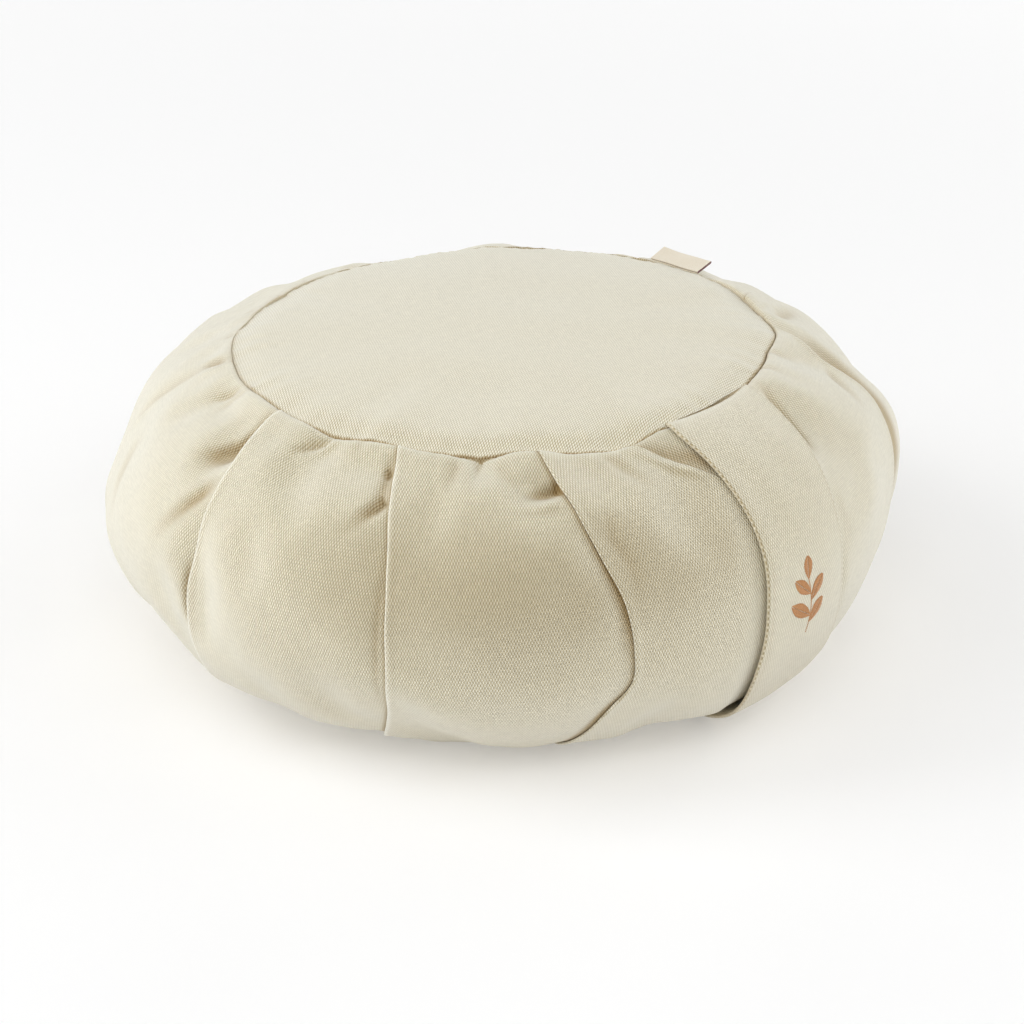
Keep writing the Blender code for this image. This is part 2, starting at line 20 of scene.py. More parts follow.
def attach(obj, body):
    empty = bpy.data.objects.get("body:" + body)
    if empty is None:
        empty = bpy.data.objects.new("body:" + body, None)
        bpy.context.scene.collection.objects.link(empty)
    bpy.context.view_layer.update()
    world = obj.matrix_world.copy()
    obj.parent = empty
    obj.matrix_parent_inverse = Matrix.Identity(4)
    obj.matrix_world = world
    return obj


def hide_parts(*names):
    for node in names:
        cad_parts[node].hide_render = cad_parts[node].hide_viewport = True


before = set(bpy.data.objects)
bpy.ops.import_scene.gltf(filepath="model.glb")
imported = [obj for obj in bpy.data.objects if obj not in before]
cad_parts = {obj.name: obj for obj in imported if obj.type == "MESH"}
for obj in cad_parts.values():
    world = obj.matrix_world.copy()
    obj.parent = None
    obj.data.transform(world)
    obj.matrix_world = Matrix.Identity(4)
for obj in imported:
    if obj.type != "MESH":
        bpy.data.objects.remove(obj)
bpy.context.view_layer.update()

LOG = logging.getLogger("cushion")
BODY = "root"
MM = 0.001
WELD = 0.0001 * MM
TINY = 1e-9

Array = np.ndarray
Pair = tuple[Array, Array]
Colour = tuple[float, float, float, float]
Material = bpy.types.Material
Mesh = bpy.types.Mesh
Piece = bpy.types.Object
Skin = bmesh.types.BMesh
Socket = bpy.types.NodeSocket

WHITE: Colour = (1.0, 1.0, 1.0, 1.0)
CREASE_END_SHARE = 0.12
CREASE_LEAST_RUN = 0.05


class FoldSide(Enum):
    """Which way the folded edge of a knife pleat points."""

    LEFT = -1
    RIGHT = 1


class Pattern(Enum):
    """The uneven patterns, each with the seed that keeps it the same from build to build."""

    BAND_BROAD = 11
    BAND_FINE = 12
    BAND_PEBBLES = 21
    PANEL_PEBBLES = 22
    PANEL_BROAD = 31
    PANEL_PULLS = 32
    STRAP_LUMPS = 41
    STITCHES = 51
    SPRIG = 52


@dataclass(frozen=True)
class Pleat:
    """One knife pleat: where its folded edge runs and how it stands.

    edge holds azimuths at the falls. tuck is how far the cloth goes back under the fold, lift how far the
    upper layer stands up, dip how far the lower layer sinks beside it, and full how far the panel to its
    right fills out. Lengths are in millimetres. low is the share of lift and dip left in the lower half, and
    the field after it how strongly a painted highlight lightens the folded edge. columns is how many columns
    go round the fold.
    """

    edge: tuple[float, ...]
    side: FoldSide
    tuck: float
    lift: float
    dip: float
    full: float
    columns: int = 18
    falls: tuple[float, ...] = (0.0, 0.2, 0.4, 0.6, 0.8, 1.0)
    low: float = 0.75
    # Strength of the painted highlight that lightens the folded edge.
    lip_highlight: float = 0.0

    def edge_at(self, fall: float) -> float:
        """Azimuth of the folded edge at one fall."""
        return float(through(self.falls, self.edge, np.array(fall)))


@dataclass(frozen=True)
class Swell:
    """A soft round swelling of the side, or a hollow where its height in millimetres is negative."""

    azimuth: float
    fall: float
    half_width: float
    half_length: float
    height: float


@dataclass(frozen=True)
class SeamPull:
    """Outward and upward offset of the top seam at an azimuth, in millimetres."""

    azimuth: float
    out: float
    up: float


@dataclass(frozen=True)
class StrapRow:
    """Edge azimuths of the carrying strap and its stand-off in millimetres at a fall."""

    fall: float
    left: float
    right: float
    left_off: float
    right_off: float


@dataclass(frozen=True)
class Crease:
    """A trough in the side, or a ridge where its depth is negative.

    path holds (azimuth, fall) points. depth and half_width are in millimetres. peak is the share of the way
    along at which it is deepest. shade is how much painted golden shade its depth gives, against other
    troughs.
    """

    path: tuple[tuple[float, float], ...]
    depth: float
    half_width: float
    peak: float = 0.5
    shade: float = 1.0


LEFT = FoldSide.LEFT
RIGHT = FoldSide.RIGHT
PLEATS = (
    Pleat((-154.0, -155.0, -156.0, -156.0, -155.5, -155.0), LEFT, 7.0, 0.6, 1.0, 1.4, 12),
    Pleat((-120.0, -118.0, -117.0, -117.0, -117.5, -118.0), LEFT, 7.0, 0.5, 0.9, 1.2, 14),
    Pleat(
        (-81.0, -80.0, -81.6, -82.9, -84.4, -86.0, -86.6, -86.0, -85.0, -84.0),
        LEFT, 6.0, 0.6, 1.0, 1.6,
        falls=(0.0, 0.083, 0.142, 0.203, 0.261, 0.321, 0.4, 0.6, 0.8, 1.0),
    ),
    Pleat(
        (-51.2, -50.9, -51.0, -50.2, -49.4, -48.9, -49.0, -49.4, -49.9, -50.0, -49.5, -49.6, -50.0),
        LEFT, 8.0, 1.1, 1.5, 2.2, lip_highlight=0.22,
        falls=(0.0, 0.05, 0.105, 0.17, 0.23, 0.3, 0.35, 0.44, 0.5, 0.55, 0.6, 0.8, 1.0),
    ),
    Pleat(
        (-21.2, -20.5, -19.9, -18.5, -17.3, -16.1, -15.9, -16.3, -17.3, -20.8, -22.5),
        LEFT, 7.0, 1.2, 0.9, 2.0, lip_highlight=0.3,
        falls=(0.0, 0.06, 0.106, 0.19, 0.27, 0.37, 0.47, 0.57, 0.64, 0.8, 1.0),
    ),
    Pleat(
        (6.4, 7.8, 8.7, 9.6, 10.9, 13.0, 15.1, 16.6, 17.3, 17.3, 16.2, 14.8, 13.7, 12.7, 9.8, 8.0),
        LEFT, 10.0, 1.0, 1.1, 1.8, low=0.7,
        falls=(0.0, 0.09, 0.13, 0.17, 0.22, 0.3, 0.38, 0.45, 0.5, 0.545, 0.575, 0.6, 0.63, 0.67, 0.8, 1.0),
    ),
    Pleat(
        (22.2, 24.4, 26.2, 28.6, 30.3, 32.0, 33.8, 35.5, 37.0, 39.6, 42.0, 43.5, 44.0, 43.5),
        RIGHT, 9.0, 0.8, 1.2, 0.0,
        falls=(0.0, 0.028, 0.056, 0.1, 0.135, 0.166, 0.192, 0.214, 0.235, 0.27, 0.33, 0.45, 0.6, 1.0),
    ),
    Pleat((59.5, 54.5, 50.5, 49.5, 49.5, 50.5), RIGHT, 7.0, 0.8, 1.8, 2.4),
    Pleat(
        (97.5, 94.0, 91.2, 88.4, 87.0, 86.0, 84.2, 81.8, 79.6, 77.8, 77.0, 78.0, 80.0),
        RIGHT, 9.0, 1.4, 2.0, 3.4,
        falls=(0.0, 0.071, 0.125, 0.176, 0.23, 0.29, 0.335, 0.37, 0.412, 0.475, 0.6, 0.8, 1.0),
    ),
    Pleat((112.0, 117.0, 118.5, 119.0, 119.0, 118.0), RIGHT, 7.0, 0.4, 0.7, 1.8, 15),
    Pleat((147.0, 147.5, 148.0, 148.5, 148.0, 147.5), RIGHT, 7.0, 0.8, 1.2, 1.8, 12),
    Pleat((174.0, 175.0, 176.0, 176.0, 175.5, 175.0), RIGHT, 7.0, 0.3, 0.6, 1.2, 12),
)

HOLLOWS = (
    Swell(6.0, 0.165, 4.5, 0.035, 2.0),
    Swell(-54.5, 0.19, 4.5, 0.08, 1.4),
    Swell(61.5, 0.23, 5.0, 0.10, 2.4),
    Swell(32.0, 0.09, 5.5, 0.05, 0.7),
    Swell(-36.0, 0.07, 3.5, 0.06, 1.6),
    Swell(-4.5, 0.07, 3.0, 0.05, 1.0),
    Swell(-70.0, 0.08, 5.0, 0.07, 1.6),
    Swell(-100.0, 0.10, 6.0, 0.08, 1.6),
    Swell(80.0, 0.10, 5.0, 0.08, 1.4),
    Swell(132.0, 0.10, 6.0, 0.08, 1.6),
    Swell(161.0, 0.09, 5.0, 0.07, 1.6),
    Swell(-170.0, 0.10, 5.0, 0.08, 1.6),
    Swell(-138.0, 0.10, 6.0, 0.08, 0.6),
    Swell(136.5, 0.06, 9.0, 0.05, 1.6),
)

SWELLS = (
    Swell(-88.0, 0.52, 22.0, 0.12, 4.0),
    Swell(-96.0, 0.42, 9.0, 0.06, -2.4),
    Swell(-80.0, 0.34, 12.0, 0.08, -2.0),
    Swell(-65.0, 0.62, 11.0, 0.11, -6.5),
    Swell(-42.0, 0.72, 10.0, 0.09, -2.4),
    Swell(-25.0, 0.78, 26.0, 0.13, -3.4),
    Swell(30.0, 0.72, 10.0, 0.10, 2.0),
    Swell(48.0, 0.76, 14.0, 0.12, 2.6),
    Swell(86.0, 0.44, 12.0, 0.09, 2.6),
    Swell(72.0, 0.56, 18.0, 0.14, -4.2),
    Swell(114.0, 0.26, 14.0, 0.12, 1.2),
    Swell(101.0, 0.34, 10.0, 0.09, -6.4),
    Swell(-122.0, 0.24, 26.0, 0.16, 2.4),
    Swell(141.0, 0.22, 12.0, 0.10, -2.6),
    Swell(-160.0, 0.12, 12.0, 0.10, -4.4),
    Swell(160.0, 0.13, 16.0, 0.10, -1.4),
    Swell(36.5, 0.45, 5.0, 0.20, 1.2),
)

SEAM_WANDER = (
    SeamPull(-163.0, -0.8, -1.4),
    SeamPull(-148.0, -0.6, -1.2),
    SeamPull(-119.0, -1.0, -0.8),
    SeamPull(-105.0, -1.4, 0.2),
    SeamPull(-94.0, 1.0, 0.4),
    SeamPull(-72.0, 0.2, -0.2),
    SeamPull(-58.0, -1.0, 1.0),
    SeamPull(-44.0, 0.3, 0.4),
    SeamPull(-36.0, 0.9, -0.6),
    SeamPull(-25.0, -0.8, 1.2),
    SeamPull(-14.0, 0.4, -0.3),
    SeamPull(-5.0, 1.3, -0.6),
    SeamPull(4.5, -1.2, 1.0),
    SeamPull(15.0, 1.6, -0.8),
    SeamPull(24.0, 2.6, -1.6),
    SeamPull(35.0, -1.2, 0.8),
    SeamPull(53.0, -1.0, 0.2),
    SeamPull(66.0, -2.4, 0.4),
    SeamPull(81.0, -1.2, 0.0),
    SeamPull(94.0, 3.8, 0.2),
    SeamPull(106.0, 1.4, -0.4),
    SeamPull(118.0, 1.4, 0.8),
    SeamPull(145.0, 0.4, 0.4),
    SeamPull(163.0, -0.8, -0.8),
    SeamPull(180.0, 0.3, -0.5),
)

STRAP_ROWS = (
    StrapRow(0.012, 34.8, 61.6, 0.5, 0.5),
    StrapRow(0.100, 34.5, 59.5, 1.3, 1.4),
    StrapRow(0.200, 35.8, 56.9, 2.0, 2.0),
    StrapRow(0.300, 36.6, 54.8, 2.6, 2.2),
    StrapRow(0.400, 36.8, 53.1, 3.1, 2.2),
    StrapRow(0.500, 36.5, 53.2, 3.3, 2.2),
    StrapRow(0.600, 36.0, 54.2, 3.2, 2.2),
    StrapRow(0.700, 36.7, 55.6, 3.2, 2.2),
    StrapRow(0.800, 38.4, 58.0, 3.2, 2.2),
    StrapRow(0.900, 40.0, 61.4, 2.2, 1.8),
    StrapRow(0.965, 41.0, 63.4, 0.8, 0.9),
)

# Creases and soft ridges as they lie on the cushion: the left side, the front, the right and then the rear.
CREASES = (
    Crease(((-78.1, 0.295), (-78.8, 0.345), (-76.7, 0.407), (-73.8, 0.468)), 0.9, 3.4),
    Crease(((-82.0, 0.03), (-84.0, 0.09), (-86.0, 0.14)), 2.4, 2.4, 0.5, 1.4),
    Crease(((-83.0, 0.06), (-84.6, 0.142), (-86.6, 0.25), (-88.6, 0.4)), 0.5, 2.0, 0.4, 2.2),
    Crease(((-67.4, 0.02), (-69.4, 0.097), (-71.2, 0.15)), 1.6, 2.2, 0.4),
    Crease(((-65.0, 0.02), (-66.5, 0.09), (-66.0, 0.17)), 0.8, 2.6, 0.2),
    Crease(
        ((-51.8, 0.01), (-51.8, 0.09), (-51.6, 0.165), (-53.4, 0.21), (-57.2, 0.255)),
        3.6, 4.0, 0.55, 1.9,
    ),
    Crease(((-52.6, 0.12), (-53.2, 0.175), (-56.2, 0.22), (-59.5, 0.25)), 1.6, 3.0, 0.4, 2.4),
    Crease(((-50.2, 0.26), (-52.2, 0.31), (-55.0, 0.36), (-58.0, 0.415)), 1.9, 3.4, 0.3, 1.7),
    Crease(((-50.0, 0.42), (-50.5, 0.49), (-50.6, 0.55)), 2.6, 2.0, 0.5, 2.6),
    Crease(((-35.4, 0.0), (-35.8, 0.058), (-38.0, 0.1), (-40.2, 0.135), (-40.0, 0.17)), 1.7, 1.4, 0.3),
    Crease(((-33.8, 0.02), (-35.4, 0.08), (-37.4, 0.135)), -1.2, 1.9, 0.3),
    Crease(((-29.0, 0.01), (-28.4, 0.05), (-29.2, 0.11)), 0.7, 2.0, 0.2),
    Crease(
        ((-21.0, 0.05), (-20.5, 0.142), (-19.9, 0.215), (-21.4, 0.26), (-25.6, 0.305)),
        1.2, 2.2, 0.35, 1.8,
    ),
    Crease(((-20.9, 0.115), (-20.6, 0.133), (-20.9, 0.155)), 2.6, 1.5, 0.5, 1.6),
    Crease(((-19.0, 0.205), (-20.0, 0.23), (-23.2, 0.265)), 2.8, 2.0, 0.1, 1.6),
    Crease(((-13.5, 0.01), (-13.0, 0.06), (-12.2, 0.11)), 0.6, 2.0, 0.2),
    Crease(((-17.2, 0.28), (-16.9, 0.38), (-17.2, 0.48), (-17.6, 0.62)), 0.5, 1.5, 0.5, 3.0),
    Crease(((-9.2, 0.02), (-8.9, 0.1), (-9.3, 0.18)), 1.1, 2.4, 0.4),
    Crease(((-6.4, 0.02), (-6.3, 0.1), (-6.2, 0.18)), -0.9, 2.2, 0.4),
    Crease(((-4.0, 0.0), (-4.4, 0.06), (-4.9, 0.11), (-5.8, 0.15)), 1.5, 1.3, 0.1),
    Crease(((-0.8, 0.05), (0.4, 0.13), (3.0, 0.18)), 0.8, 2.8, 0.4),
    Crease(((2.6, 0.188), (4.8, 0.186), (7.2, 0.178), (10.0, 0.164)), 4.2, 2.6, 0.95, 1.5),
    Crease(((1.6, 0.222), (4.6, 0.22), (7.4, 0.213), (10.4, 0.204)), -1.3, 2.0, 0.7),
    Crease(((11.6, 0.26), (14.4, 0.36), (16.0, 0.44), (16.5, 0.52)), 0.8, 3.0, 0.6, 2.6),
    Crease(((16.4, 0.56), (14.0, 0.61), (12.0, 0.67), (9.0, 0.8)), 0.5, 2.0, 0.4, 3.2),
    Crease(((17.6, 0.03), (20.6, 0.1), (23.4, 0.175), (25.0, 0.215)), 1.1, 3.0, 0.4),
    Crease(((16.0, 0.215), (15.9, 0.302), (17.6, 0.35), (18.2, 0.422)), 0.9, 3.0),
    Crease(((25.2, 0.005), (29.8, 0.088), (33.8, 0.152), (38.6, 0.215)), 1.1, 2.8, 0.85, 4.0),
    Crease(((22.6, 0.01), (27.0, 0.106), (31.2, 0.177), (35.6, 0.228)), -1.3, 2.2, 0.7),
    Crease(((65.4, 0.02), (63.0, 0.12), (60.0, 0.215), (58.2, 0.28)), 2.6, 2.6, 0.75, 1.8),
    Crease(((72.6, 0.0), (73.3, 0.05), (72.4, 0.11)), 1.1, 1.6, 0.2),
    Crease(((85.4, 0.205), (81.0, 0.25), (77.6, 0.31)), 1.5, 2.6, 0.3),
    Crease(
        ((96.5, 0.08), (91.8, 0.17), (89.0, 0.25), (86.2, 0.34), (82.2, 0.42), (80.4, 0.54)),
        0.9, 5.0, 0.6, 5.0,
    ),
    Crease(((83.0, 0.01), (82.0, 0.07), (82.8, 0.13)), 0.8, 2.2, 0.2),
    Crease(((105.4, 0.033), (108.0, 0.08), (111.0, 0.133)), -1.2, 2.6, 0.5),
    Crease(((102.0, 0.07), (107.0, 0.15), (112.5, 0.225)), 1.6, 3.6, 0.4),
    Crease(((127.0, 0.01), (128.5, 0.08), (128.0, 0.16)), 1.0, 2.6, 0.2),
    Crease(((155.5, 0.01), (154.5, 0.08), (155.5, 0.17)), 1.1, 2.6, 0.2),
    Crease(((167.0, 0.01), (166.0, 0.07), (167.5, 0.14)), 0.9, 2.4, 0.2),
    Crease(((-176.0, 0.01), (-175.0, 0.08), (-176.0, 0.15)), 0.4, 2.6, 0.2),
    Crease(((-163.0, 0.01), (-164.0, 0.07), (-163.0, 0.14)), 0.9, 2.4, 0.2),
    Crease(((-146.0, 0.01), (-145.0, 0.09), (-146.5, 0.19)), 1.1, 2.8, 0.2),
    Crease(((-130.0, 0.01), (-131.0, 0.07), (-129.5, 0.14)), 0.9, 2.4, 0.2),
    Crease(((-110.0, 0.01), (-109.0, 0.09), (-110.0, 0.18)), 1.1, 2.8, 0.2),
    Crease(((-95.0, 0.01), (-96.5, 0.07), (-95.5, 0.13)), 0.9, 2.2, 0.2),
)


def smooth_step(value: Array) -> Array:
    """Ease from 0 to 1.

    Args:
        value: Any numbers; those below 0 count as 0 and those above 1 as 1.

    Returns:
        The eased numbers.
    """
    clamped = np.clip(value, 0.0, 1.0)
    return clamped * clamped * (3.0 - 2.0 * clamped)


def turn_between(first: Array, second: Array) -> Array:
    """Signed degrees from the first azimuth to the second, the short way round."""
    return (np.asarray(second) - first + 180.0) % 360.0 - 180.0


def bell(distance: Array, reach: float) -> Array:
    """Fall away softly from 1 at no distance to about a third at this reach."""
    return np.exp(-((distance / reach) ** 2))


def rounded(share: Array) -> Array:
    """Rise from 0 to 1 along a quarter of a circle."""
    return np.sqrt(np.clip(1.0 - (1.0 - np.clip(share, 0.0, 1.0)) ** 2, 0.0, 1.0))


def clustered(even: Array, share: float) -> Array:
    """Even steps between 0 and 1, drawn closer together towards both ends by this share."""
    eased = 0.5 - 0.5 * np.cos(math.pi * even)
    return (1.0 - share) * even + share * eased


def all_round(count: int) -> Array:
    """This many even azimuths all the way round, starting at the rear."""
    return np.linspace(-180.0, 180.0, count, endpoint=False)


def crossed(across: Array, down: Array) -> Pair:
    """A row and a column of numbers, each spread over the whole grid."""
    return across + 0.0 * down, down + 0.0 * across


def held_on(table: Array, before: int, after: int) -> Array:
    """The table with its first and its last row held on beyond its two ends."""
    return np.concatenate([np.repeat(table[:1], before, 0), table, np.repeat(table[-1:], after, 0)])


def through(stations: tuple[float, ...], values: tuple[float, ...], at: Array) -> Array:
    """Smooth curve through the values given at rising stations.

    Args:
        stations: Where the values are given.
        values: One value for each station.
        at: Where the curve is read.

    Returns:
        The curve's values.
    """
    last = len(stations) - 1
    at = np.asarray(at, float)
    grid, given = np.array(stations), np.array(values)
    slopes = np.zeros(last + 1)
    slopes[1:-1] = (given[2:] - given[:-2]) / (grid[2:] - grid[:-2])
    slopes[0] = (given[1] - given[0]) / (grid[1] - grid[0])
    slopes[-1] = (given[-1] - given[-2]) / (grid[-1] - grid[-2])
    step = np.clip(np.searchsorted(grid, at, side="left") - 1, 0, last - 1)
    start, end = grid[step], grid[step + 1]
    share = (at - start) / (end - start)
    a, b = given[step], given[step + 1]
    slope_a, slope_b = slopes[step] * (end - start), slopes[step + 1] * (end - start)
    square, cube = share ** 2, share ** 3
    return (
        (2 * cube - 3 * square + 1) * a
        + (cube - 2 * square + share) * slope_a
        + (3 * square - 2 * cube) * b
        + (cube - square) * slope_b
    )


def uneven(across: Array, along: Array, pattern: Pattern, count: int = 7) -> Array:
    """Soft unevenness between about -1 and 1 from a few crossing waves.

    Args:
        across: Position one way, in wave lengths.
        along: Position the other way, in wave lengths.
        pattern: Which pattern.
        count: How many waves are added up.

    Returns:
        The unevenness at each place.
    """
    draw = np.random.default_rng(pattern.value)
    total = np.zeros(np.broadcast(across, along).shape)
    for _ in range(count):
        heading = draw.uniform(0.0, math.pi)
        pace = draw.uniform(0.6, 1.7) * 2.0 * math.pi
        start = draw.uniform(0.0, 2.0 * math.pi)
        total = total + np.sin(pace * (across * math.cos(heading) + along * math.sin(heading)) + start)
    return total / math.sqrt(2.0 * count)


def polar(azimuth: Array, radius: Array, height: Array) -> Array:
    """Points at these azimuths, radii and heights, with x, y and z along the last axis."""
    turn = np.radians(azimuth)
    return np.stack(np.broadcast_arrays(radius * np.sin(turn), -radius * np.cos(turn), height), axis=-1)


def azimuth_of(points: Array) -> Array:
    """Azimuths of a ring of points, in degrees."""
    return np.degrees(np.arctan2(points[:, 0], -points[:, 1]))


@dataclass
class CushionForm:
    """The filled cushion's own shape, which every piece of cloth lies on."""

    seam_radius: float = 121 * MM
    widest_radius: float = 178.5 * MM
    seam_height: float = 135.6 * MM
    bulge_power: float = 1.6
    shoulder_power: float = 0.8
    sag_to_the_left: float = 6 * MM
    shoulder_puff: float = 0.9 * MM
    puff_at_front: float = 0.9 * MM
    puff_fall: float = 0.075
    wander_fall: float = 0.3
    floor_clearance: float = 0.3 * MM
    top_crown: float = 5.6 * MM
    crown_power: float = 2.2
    rim_follow_power: float = 3.0
    rim_turn_down: float = 3.0 * MM
    rim_turn_reach: float = 8 * MM
    tight_azimuth: float = 15.0
    tight_from: float = 0.35
    tight_span: float = 1.1
    slack_share: float = 0.12
    slack_shade: float = 0.3
    arc_steps: int = 400

    def seam_wander(self, azimuth: Array) -> Pair:
        """Outward and upward offset of the top seam, eased between the table's rows.

        Args:
            azimuth: Where it is read, in degrees.

        Returns:
            The outward and the upward offset in metres.
        """
        azimuth = np.asarray(azimuth, float)
        out, up = np.zeros(azimuth.shape), np.zeros(azimuth.shape)
        for row, following in zip(SEAM_WANDER, SEAM_WANDER[1:] + SEAM_WANDER[:1]):
            span = (following.azimuth - row.azimuth) % 360.0
            reach = (azimuth - row.azimuth) % 360.0
            share = smooth_step(reach / span)
            inside = reach < span
            out = np.where(inside, (row.out + share * (following.out - row.out)) * MM, out)
            up = np.where(inside, (row.up + share * (following.up - row.up)) * MM, up)
        return out, up

    def seam_top(self, azimuth: Array) -> Pair:
        """Radius and height of the top sewing line."""
        out, up = self.seam_wander(azimuth)
        return self.seam_radius + out, self.seam_height + up

    def swelling(self, rows: tuple[Swell, ...], azimuth: Array, fall: Array) -> Array:
        """Sum of the rows' soft swellings at a place, in metres.

        Args:
            rows: The swellings.
            azimuth: Where they are read, in degrees.
            fall: Where they are read, down the side.

        Returns:
            Their sum in metres.
        """
        total = np.zeros(np.broadcast(azimuth, fall).shape)
        for row in rows:
            across = turn_between(row.azimuth, azimuth) / row.half_width
            along = (fall - row.fall) / row.half_length
            total = total + row.height * MM * np.exp(-(across ** 2) - along ** 2)
        return total

    def radius_at(self, fall: Array) -> Array:
        """Plain radius of the side at this fall."""
        sine = np.maximum(np.sin(math.pi * np.asarray(fall)), 0.0)
        return self.seam_radius + (self.widest_radius - self.seam_radius) * sine ** self.bulge_power

    def degrees_of(self, length: Array, fall: Array) -> Array:
        """Degrees of azimuth that a length round the side takes up."""
        return np.degrees(length / self.radius_at(fall))

    def seam_tightness(self, azimuth: Array) -> Array:
        """How hard the top seam draws in: all at the front right, less at the left and the rear."""
        towards = np.cos(np.radians(np.asarray(azimuth, float) - self.tight_azimuth))
        drawn_in = smooth_step((towards + self.tight_from) / self.tight_span)
        return self.slack_share + (1.0 - self.slack_share) * drawn_in

    def seam_shade(self, azimuth: Array) -> Array:
        """How dark the painted shade along the top seam is: darkest where the seam is tight."""
        return self.slack_shade + (1.0 - self.slack_shade) * self.seam_tightness(azimuth)

    def side_point(self, azimuth: Array, fall: Array, stand_out: Array = 0.0) -> Array:
        """Points on the filled side.

        Args:
            azimuth: Degrees round the cushion.
            fall: Share of the way down the side.
            stand_out: How far the points stand outwards from the plain side, in metres.

        Returns:
            The points, with x, y and z along the last axis.
        """
        turn = np.radians(azimuth)
        sweep = math.pi * np.asarray(fall, float)
        sine, cosine = np.sin(sweep), np.cos(sweep)
        near_top = smooth_step(1.0 - fall / self.wander_fall)
        out, up = self.seam_wander(azimuth)
        radius = self.radius_at(fall) + out * near_top
        half = self.seam_height / 2.0
        height = half + half * np.copysign(np.abs(cosine) ** self.shoulder_power, cosine) + up * near_top
        height = height + self.sag_to_the_left * np.sin(turn) * sine ** 2
        puff = self.shoulder_puff + self.puff_at_front * np.cos(turn)
        raised = stand_out + puff * (fall / self.puff_fall) * np.exp(1.0 - fall / self.puff_fall)
        raised = raised + self.swelling(SWELLS, azimuth, fall)
        radius = radius + raised * sine
        height = np.maximum(height + raised * cosine, self.floor_clearance)
        return polar(azimuth, radius, height)

    def arc_length(self, fall: Array) -> Array:
        """Length of cloth from the top seam down to this fall, in metres."""
        falls = np.linspace(0.0, 1.0, self.arc_steps + 1)
        places = self.side_point(np.zeros_like(falls), falls)
        steps = np.linalg.norm(np.diff(places, axis=0), axis=1)
        return np.interp(fall, falls, np.concatenate([[0.0], np.cumsum(steps)]))

    def down_to(self, fall: float) -> float:
        """Length of cloth from the top seam down to one fall, in metres."""
        return float(self.arc_length(np.array(fall)))

    def plain_top(self, azimuth: Array, share: Array) -> Array:
        """Height of the top panel's upper face without its dimples.

        Args:
            azimuth: Degrees round the cushion.
            share: Share of the way from the centre to the seam.

        Returns:
            The heights in metres.
        """
        radius, rim = self.seam_top(azimuth)
        crown = self.top_crown * (1.0 - share ** self.crown_power)
        from_rim = (1.0 - share) * radius
        turned_down = self.rim_turn_down * bell(from_rim, self.rim_turn_reach)
        level = self.seam_height + share ** self.rim_follow_power * (rim - self.seam_height)
        return level + self.rim_turn_down + crown - turned_down


FORM = CushionForm()


def strap_edges(fall: Array) -> dict[str, Array]:
    """Edge azimuths and stand-offs of the strap.

    Args:
        fall: Where they are read, down the side.

    Returns:
        The azimuths left and right, and the stand-offs left_off and right_off in metres.
    """
    falls = tuple(row.fall for row in STRAP_ROWS)
    read = {name: through(falls, tuple(getattr(row, name) for row in STRAP_ROWS), fall)
            for name in ("left", "right", "left_off", "right_off")}
    read["left_off"] = read["left_off"] * MM
    read["right_off"] = read["right_off"] * MM
    return read


def panel_at(azimuth: float, fall: float) -> int:
    """Which panel a place lies on, counted by the pleat on its left."""
    reaches = [(azimuth - pleat.edge_at(fall)) % 360.0 for pleat in PLEATS]
    return int(np.argmin(reaches))


def hollow_depth(azimuth: Array, fall: Array, owner: Array) -> Array:
    """How deep the soft hollows go at each place, each kept to its own panel.

    Args:
        azimuth: Degrees round the cushion.
        fall: Share of the way down the side.
        owner: The panel that each place's cloth belongs to.

    Returns:
        Depth in metres.
    """
    total = np.zeros(np.broadcast(azimuth, fall).shape)
    for row in HOLLOWS:
        own = owner == panel_at(row.azimuth, row.fall)
        total = total + own * FORM.swelling((row,), azimuth, fall)
    return total


def crease_relief(azimuth: Array, fall: Array, owner: Array) -> Pair:
    """How deep the creases are and their painted golden shade at each place, each kept to its own panel.

    Args:
        azimuth: Degrees round the cushion.
        fall: Share of the way down the side.
        owner: The panel that each place's cloth belongs to.

    Returns:
        Depth in metres, negative on a ridge, and painted golden shade in metres of plain trough.
    """
    azimuth, fall, owner = np.broadcast_arrays(azimuth, fall, owner)
    circle = FORM.radius_at(fall)
    down = FORM.arc_length(fall)
    total, shaded = np.zeros(azimuth.shape), np.zeros(azimuth.shape)
    for crease in CREASES:
        spots = np.array(crease.path)
        steps = np.hypot(
            np.radians(np.diff(spots[:, 0])) * FORM.seam_radius, np.diff(FORM.arc_length(spots[:, 1]))
        )
        reached = np.concatenate([[0.0], np.cumsum(steps)]) / steps.sum()
        nearest = np.full(azimuth.shape, np.inf)
        along = np.zeros(azimuth.shape)
        for order in range(len(spots) - 1):
            (first_turn, first_fall), (last_turn, last_fall) = spots[order], spots[order + 1]
            start_x = np.radians(turn_between(azimuth, first_turn)) * circle
            start_y = FORM.arc_length(first_fall) - down
            step_x = np.radians(last_turn - first_turn) * circle
            step_y = FORM.arc_length(last_fall) - FORM.arc_length(first_fall)
            share = np.clip(-(start_x * step_x + start_y * step_y) / (step_x ** 2 + step_y ** 2), 0.0, 1.0)
            gap = np.hypot(start_x + share * step_x, start_y + share * step_y)
            closer = gap < nearest
            nearest = np.where(closer, gap, nearest)
            here = reached[order] + share * (reached[order + 1] - reached[order])
            along = np.where(closer, here, along)
        rise, run_out = max(crease.peak, CREASE_LEAST_RUN), max(1.0 - crease.peak, CREASE_LEAST_RUN)
        swelled = np.where(along < crease.peak, along / rise, (1.0 - along) / run_out)
        fade = smooth_step(CREASE_END_SHARE + (1.0 - CREASE_END_SHARE) * swelled)
        own = owner == panel_at(*spots[len(spots) // 2])
        deep = own * crease.depth * MM * fade * bell(nearest, crease.half_width * MM)
        total += deep
        shaded += np.maximum(deep, 0.0) * crease.shade
    return total, shaded


